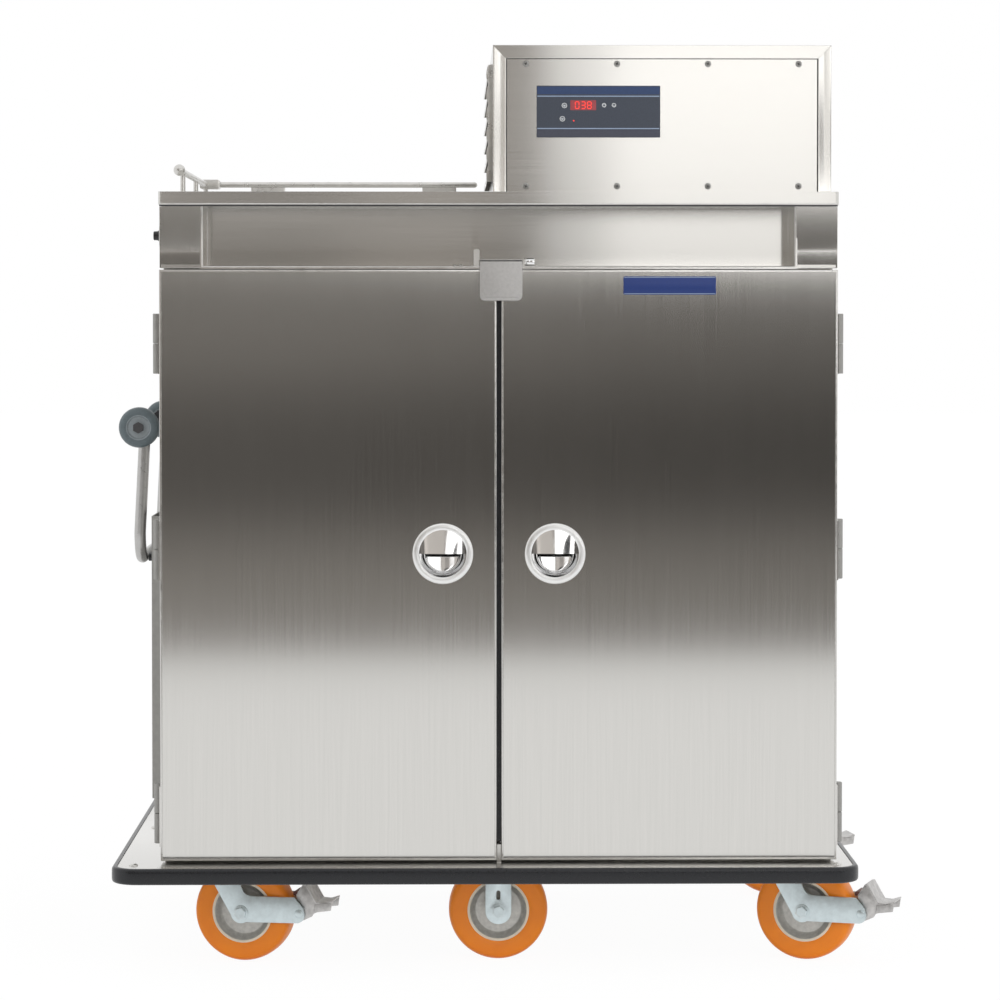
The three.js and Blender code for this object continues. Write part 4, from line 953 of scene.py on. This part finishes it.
def printed(name, material, shapes, lift=0.12):
    """Thin printed shapes on the film; each shape is an outline of (x, z)."""
    mesh = bmesh.new()
    for shape in shapes:
        sheet(mesh, cart, shape, film_y - lift, film_y + 0.05, 0)
    piece(name, mesh, "cart", "overlay_film", material)


def stripe(z0, z1, radius=0.8):
    return rounded(film_x0 + 1, film_x1 - 1, z0, z1, radius)


printed("overlay_band", band_blue, [stripe(film_z1 - 13, film_z1 - 1.5)])
line_zs = (film_z1 - 16.6, film_z0 + 12.6)
printed("overlay_lines", silver_line, [stripe(z, z + 1.5, 0.5) for z in line_zs])
printed("overlay_foot", foot_blue, [stripe(film_z0 + 1, film_z0 + 11.4)])
print("overlay", round(film_x1 - film_x0), "by", round(film_z1 - film_z0), "mm")

# %% Display digits
window_x, _, window_z = span("display_window")[0]
SEGMENTS = {"0": "abcdef", "3": "abcdg", "8": "abcdefg"}
DIGIT_W, DIGIT_H, STROKE = 5.6, 10.2, 1.3
# Each segment runs from one (across, up) to another, in shares of the digit's width and height.
bars = {"a": (0, 1, 1, 1), "b": (1, 0.5, 1, 1), "c": (1, 0, 1, 0.5), "d": (0, 0, 1, 0)}
bars |= {"e": (0, 0, 0, 0.5), "f": (0, 0.5, 0, 1), "g": (0, 0.5, 1, 0.5)}
shapes = []
for place_in_row, digit in enumerate("038"):
    x0 = window_x + 7.5 + place_in_row * 9.2
    for segment in SEGMENTS[digit]:
        u0, v0, u1, v1 = bars[segment]
        xa, xb = x0 + u0 * DIGIT_W, x0 + u1 * DIGIT_W
        za, zb = [window_z + 2.4 + v * DIGIT_H for v in (v0, v1)]
        h = STROKE / 2
        if segment in "adg":
            shapes.append(rounded(xa + 0.4, xb - 0.4, za - h, za + h, 0.4, 2))
        else:
            shapes.append(rounded(xa - h, xa + h, za + 0.4, zb - 0.4, 0.4, 2))
printed("display_digits", digit_red, shapes, 0.15)
light = rounded(window_x + 4, window_x + 6.2, window_z - 17, window_z - 14.8, 1)
printed("status_light", digit_red, [light], 0.5)
print(len(shapes), "lit segments")


# %% Key marks
def key_place(name):
    (x0, y, z0), (x1, _, z1) = span(name)
    return cart_place((x0 + x1) / 2, y, (z0 + z1) / 2)


for name, up in (("raise_key", 1), ("lower_key", -1)):
    mesh = bmesh.new()
    sheet(mesh, key_place(name), [(-2, -1.4 * up), (2, -1.4 * up), (0, 2 * up)], -0.12, 0.1, 0)
    piece(name + "_arrow", mesh, name, "overlay_film", overlay_film)
for name in ("mode_key", "power_key"):
    mesh = bmesh.new()
    turned(mesh, key_place(name), [(1.8, -0.12), (2.6, -0.12), (2.6, 0.1), (1.8, 0.1)], 32, True)
    sheet(mesh, key_place(name), rounded(-0.35, 0.35, 0.4, 3, 0.3, 2), -0.14, 0.1, 0)
    piece(name + "_ring", mesh, name, "overlay_film", overlay_film)
print("marks on four keys")

# %% [markdown]
# The right door carries a small blue plate near its top. It is left bare, with a silver border line
# over and under it.

# %% Bare plate
plate_x0, plate_x1, plate_z0, plate_z1 = 188.0, 327.7, door_top - 37.3, door_top - 9.6
mesh = bmesh.new()
sheet(mesh, cart, rounded(plate_x0, plate_x1, plate_z0, plate_z1, 2), -1.2, 0.05, 0.3)
piece("bare_plate", mesh, "right_door", "overlay_film", plate_blue)
mesh = bmesh.new()
for z in (plate_z0 + 1, plate_z1 - 2):
    sheet(mesh, cart, rounded(plate_x0 + 1, plate_x1 - 1, z, z + 1, 0.4, 2), -1.4, -1.1, 0)
piece("bare_plate_lines", mesh, "right_door", "stainless", silver_line)
print("plate", plate_x1 - plate_x0, "mm wide")

# %% Deck bolts
mesh = bmesh.new()
ledge_z = bumper_high[2] - 1
for x, y in ((-552, -16), (511, -22), (-552, 738), (511, 738), (-552, 360), (0, 745)):
    head = cart_place(x, y, ledge_z, turn(-90, "X"))
    turned(mesh, head, [(0, 0.4), (7, 0.4), (6.6, -1), (4.4, -2.6), (0, -3.4)], 24)
piece("deck_bolts", mesh, "cart", "stainless", plain_steel)
mesh = bmesh.new()
grip_z = span("push_handle")[0][2] + 9
for y in (225, 535):
    bar(mesh, cart, [(-549, y, grip_z), (-540, y, grip_z)], 6.4, 16, False)
piece("handle_stops", mesh, "cart", "black_rubber", black_rubber)
print("bolts and stops")

# %% [markdown]
# The studio is a pale floor under an even white sky. Sheet steel only looks right if it has something
# to mirror, so a dark curtain stands in front of the cart, where the floor ends: the doors show the
# bright floor in their lower third and the curtain above it. One softbox lights the right side.

# %% Floor
stage_y = front_y
REACH = 30.0


def backdrop(name, corners):
    """A rectangle of the stage with an empty material; returns both and the material's tree."""
    mesh = bpy.data.meshes.new(name)
    mesh.from_pydata(corners, [], [(0, 1, 2, 3)])
    made = bpy.data.objects.new(name, mesh)
    bpy.context.scene.collection.objects.link(made)
    paint = bpy.data.materials.new(name + "_paint")
    paint.use_nodes = True
    paint.node_tree.nodes.clear()
    mesh.materials.append(paint)
    return made, paint.node_tree


def seen_directly(tree):
    """1 for rays that come from the camera, from metal or through glass, and 0 for others."""
    rays = add(tree, "LightPath")
    seen = rays["Is Camera Ray"]
    for kind in ("Is Glossy Ray", "Is Transmission Ray"):
        seen = add(tree, "Math", {0: seen, 1: rays[kind]}, operation="MAXIMUM")[0]
    return seen


corners = [(-REACH, -REACH, 0), (REACH, -REACH, 0), (REACH, REACH, 0), (-REACH, REACH, 0)]
floor, tree = backdrop("floor", corners)
share = add(tree, "Math", {0: seen_directly(tree), 1: 0.92}, operation="MULTIPLY")[0]
matt = add(tree, "BsdfDiffuse", {"Color": (0.88, 0.88, 0.88, 1)})[0]
glow = add(tree, "Emission", {"Color": (1, 1, 1, 1), "Strength": 1.03})[0]
painted = add(tree, "MixShader", {"Fac": share, 1: matt, 2: glow})[0]
add(tree, "OutputMaterial", {"Surface": painted})
print("floor", 2 * REACH, "m across")

# %% Curtain
CURTAIN_Y = -4.78
SPAN, RISE = 6.0, 5.0
y = stage_y + CURTAIN_Y
curtain, tree = backdrop("curtain", [(-SPAN, y, 0), (SPAN, y, 0), (SPAN, y, RISE), (-SPAN, y, RISE)])


def step_between(value, start, end):
    """A soft step from 0 to 1 between two places along one axis."""
    inputs = {"Value": value, "From Min": start, "From Max": end}
    return add(tree, "MapRange", inputs, interpolation_type="SMOOTHSTEP")["Result"]


def both(first, second):
    return add(tree, "Math", {0: first, 1: second}, operation="MULTIPLY")[0]


def laid_over(below, grey, factor, way="MIX", warmth=0.0):
    """Puts a grey over the colour that is there so far."""
    paint = (grey, grey * (1 - warmth), grey * (1 - 2 * warmth), 1)
    inputs = {"A": below, "B": paint, "Factor": factor}
    return add(tree, "Mix", inputs, data_type="RGBA", blend_type=way)["Result"]


place = add(tree, "SeparateXYZ", {0: add(tree, "TexCoord")["Object"]})
cloth_x, cloth_z = place["X"], place["Z"]
# Heights over the floor in metres; the darkest belt hangs at about 0.5 m.
stops = [(0.0, 0.27), (0.21, 0.275), (0.27, 0.25), (0.36, 0.18), (0.45, 0.105), (0.57, 0.105)]
stops += [(0.66, 0.11), (0.75, 0.135), (0.87, 0.205), (0.96, 0.215), (1.05, 0.185), (1.18, 0.12)]
stops += [(1.225, 0.74), (1.34, 0.76), (1.42, 0.56), (2.4, 0.5), (4.0, 0.5)]
ramp = tree.nodes.new("ShaderNodeValToRGB")
set_stops(ramp.color_ramp, [(z / 4.0, (grey, grey * 0.93, grey * 0.86)) for z, grey in stops])
level = add(tree, "MapRange", {"Value": cloth_z, "From Max": 4.0})["Result"]
tree.links.new(level, ramp.inputs["Fac"])
rightward = step_between(cloth_x, -0.1, 0.25)
color = laid_over(ramp.outputs["Color"], 0.82, rightward, "MULTIPLY")
color = laid_over(color, 0.7, both(rightward, step_between(cloth_z, 0.35, 0.6)), "MULTIPLY")
# A window behind the curtain's upper right: it brightens in two steps, has a bright sill, and is
# dimmer from 2.45 m up.
SILL, SILL_TOP = 3.2, (1.41, 1.35)
window = [(0.15, 0.23, 1.15, 1.45), (0.32, 0.43, 1.35, 2.05)]
window += [(0.32, 0.43, 1.15, SILL), (0.15, 0.43, 2.45, 0.95)]
for start, end, low, panes in window:
    height = step_between(cloth_z, low, low + 0.06)
    if panes == SILL:
        height = both(height, step_between(cloth_z, *SILL_TOP))
    color = laid_over(color, panes, both(height, step_between(cloth_x, start, end)), warmth=0.01)
# A dark belt right of the window, for the chiller's band alone.
belt = both(step_between(cloth_z, 1.36, 1.42), step_between(cloth_z, 1.72, 1.6))
color = laid_over(color, 0.08, both(belt, step_between(cloth_x, 1.07, 1.12)))
# High up hang two pale strips and two dark ones, which only the curved chrome can see.
above = step_between(cloth_z, 1.85, 1.95)
strips = ((-1.75, -1.15, 1.5), (-1.0, -0.45, 0.06), (2.1, 2.9, 0.2), (-3.2, -2.3, 0.12))
for start, end, grey in strips:
    across = both(step_between(cloth_x, start, start + 0.1), step_between(cloth_x, end + 0.1, end))
    color = laid_over(color, grey, both(across, above))
add(tree, "OutputMaterial", {"Surface": add(tree, "Emission", {"Color": color})[0]})
curtain.visible_camera = False
curtain.visible_diffuse = False
curtain.visible_shadow = False
print("curtain at y =", round(y, 2))

# %% Sky
world = bpy.data.worlds.new("studio")
bpy.context.scene.world = world
world.use_nodes = True
tree = world.node_tree
background = tree.nodes["Background"]
background.inputs["Color"].default_value = (1, 1, 1, 1)
strength = add(tree, "MapRange", {"Value": seen_directly(tree), "To Min": 0.8, "To Max": 1.0})
tree.links.new(strength["Result"], background.inputs["Strength"])
print("an even sky")


# %% Softbox
lamp = bpy.data.lights.new("softbox_right", "AREA")
lamp.size, lamp.energy = 2.4, 60
softbox = bpy.data.objects.new("softbox_right", lamp)
bpy.context.scene.collection.objects.link(softbox)
softbox.location = (2.6, stage_y - 4.0, 3.2)
way = Vector((0, stage_y, 0.8)) - softbox.location
softbox.rotation_euler = way.to_track_quat("-Z", "Y").to_euler()
softbox.visible_camera = False
softbox.visible_glossy = False
print("softbox on the right")

# %% [markdown]
# The photograph was taken from about five metres, a little left of the middle and a little under the
# worktop's height, through a long lens. A small shift keeps the upright edges upright.

# %% Camera
view = bpy.data.cameras.new("camera")
view.lens, view.sensor_width, view.shift_y = 119.2, 36.0, -0.0855
camera = bpy.data.objects.new("camera", view)
bpy.context.scene.collection.objects.link(camera)
camera.location = at(-74, -5000, 982)
camera.rotation_euler = (math.radians(90 - 1.6), 0, math.radians(-0.865))
bpy.context.scene.camera = camera
bpy.context.scene.view_settings.view_transform = "Standard"
print("camera", [round(v, 3) for v in camera.location])
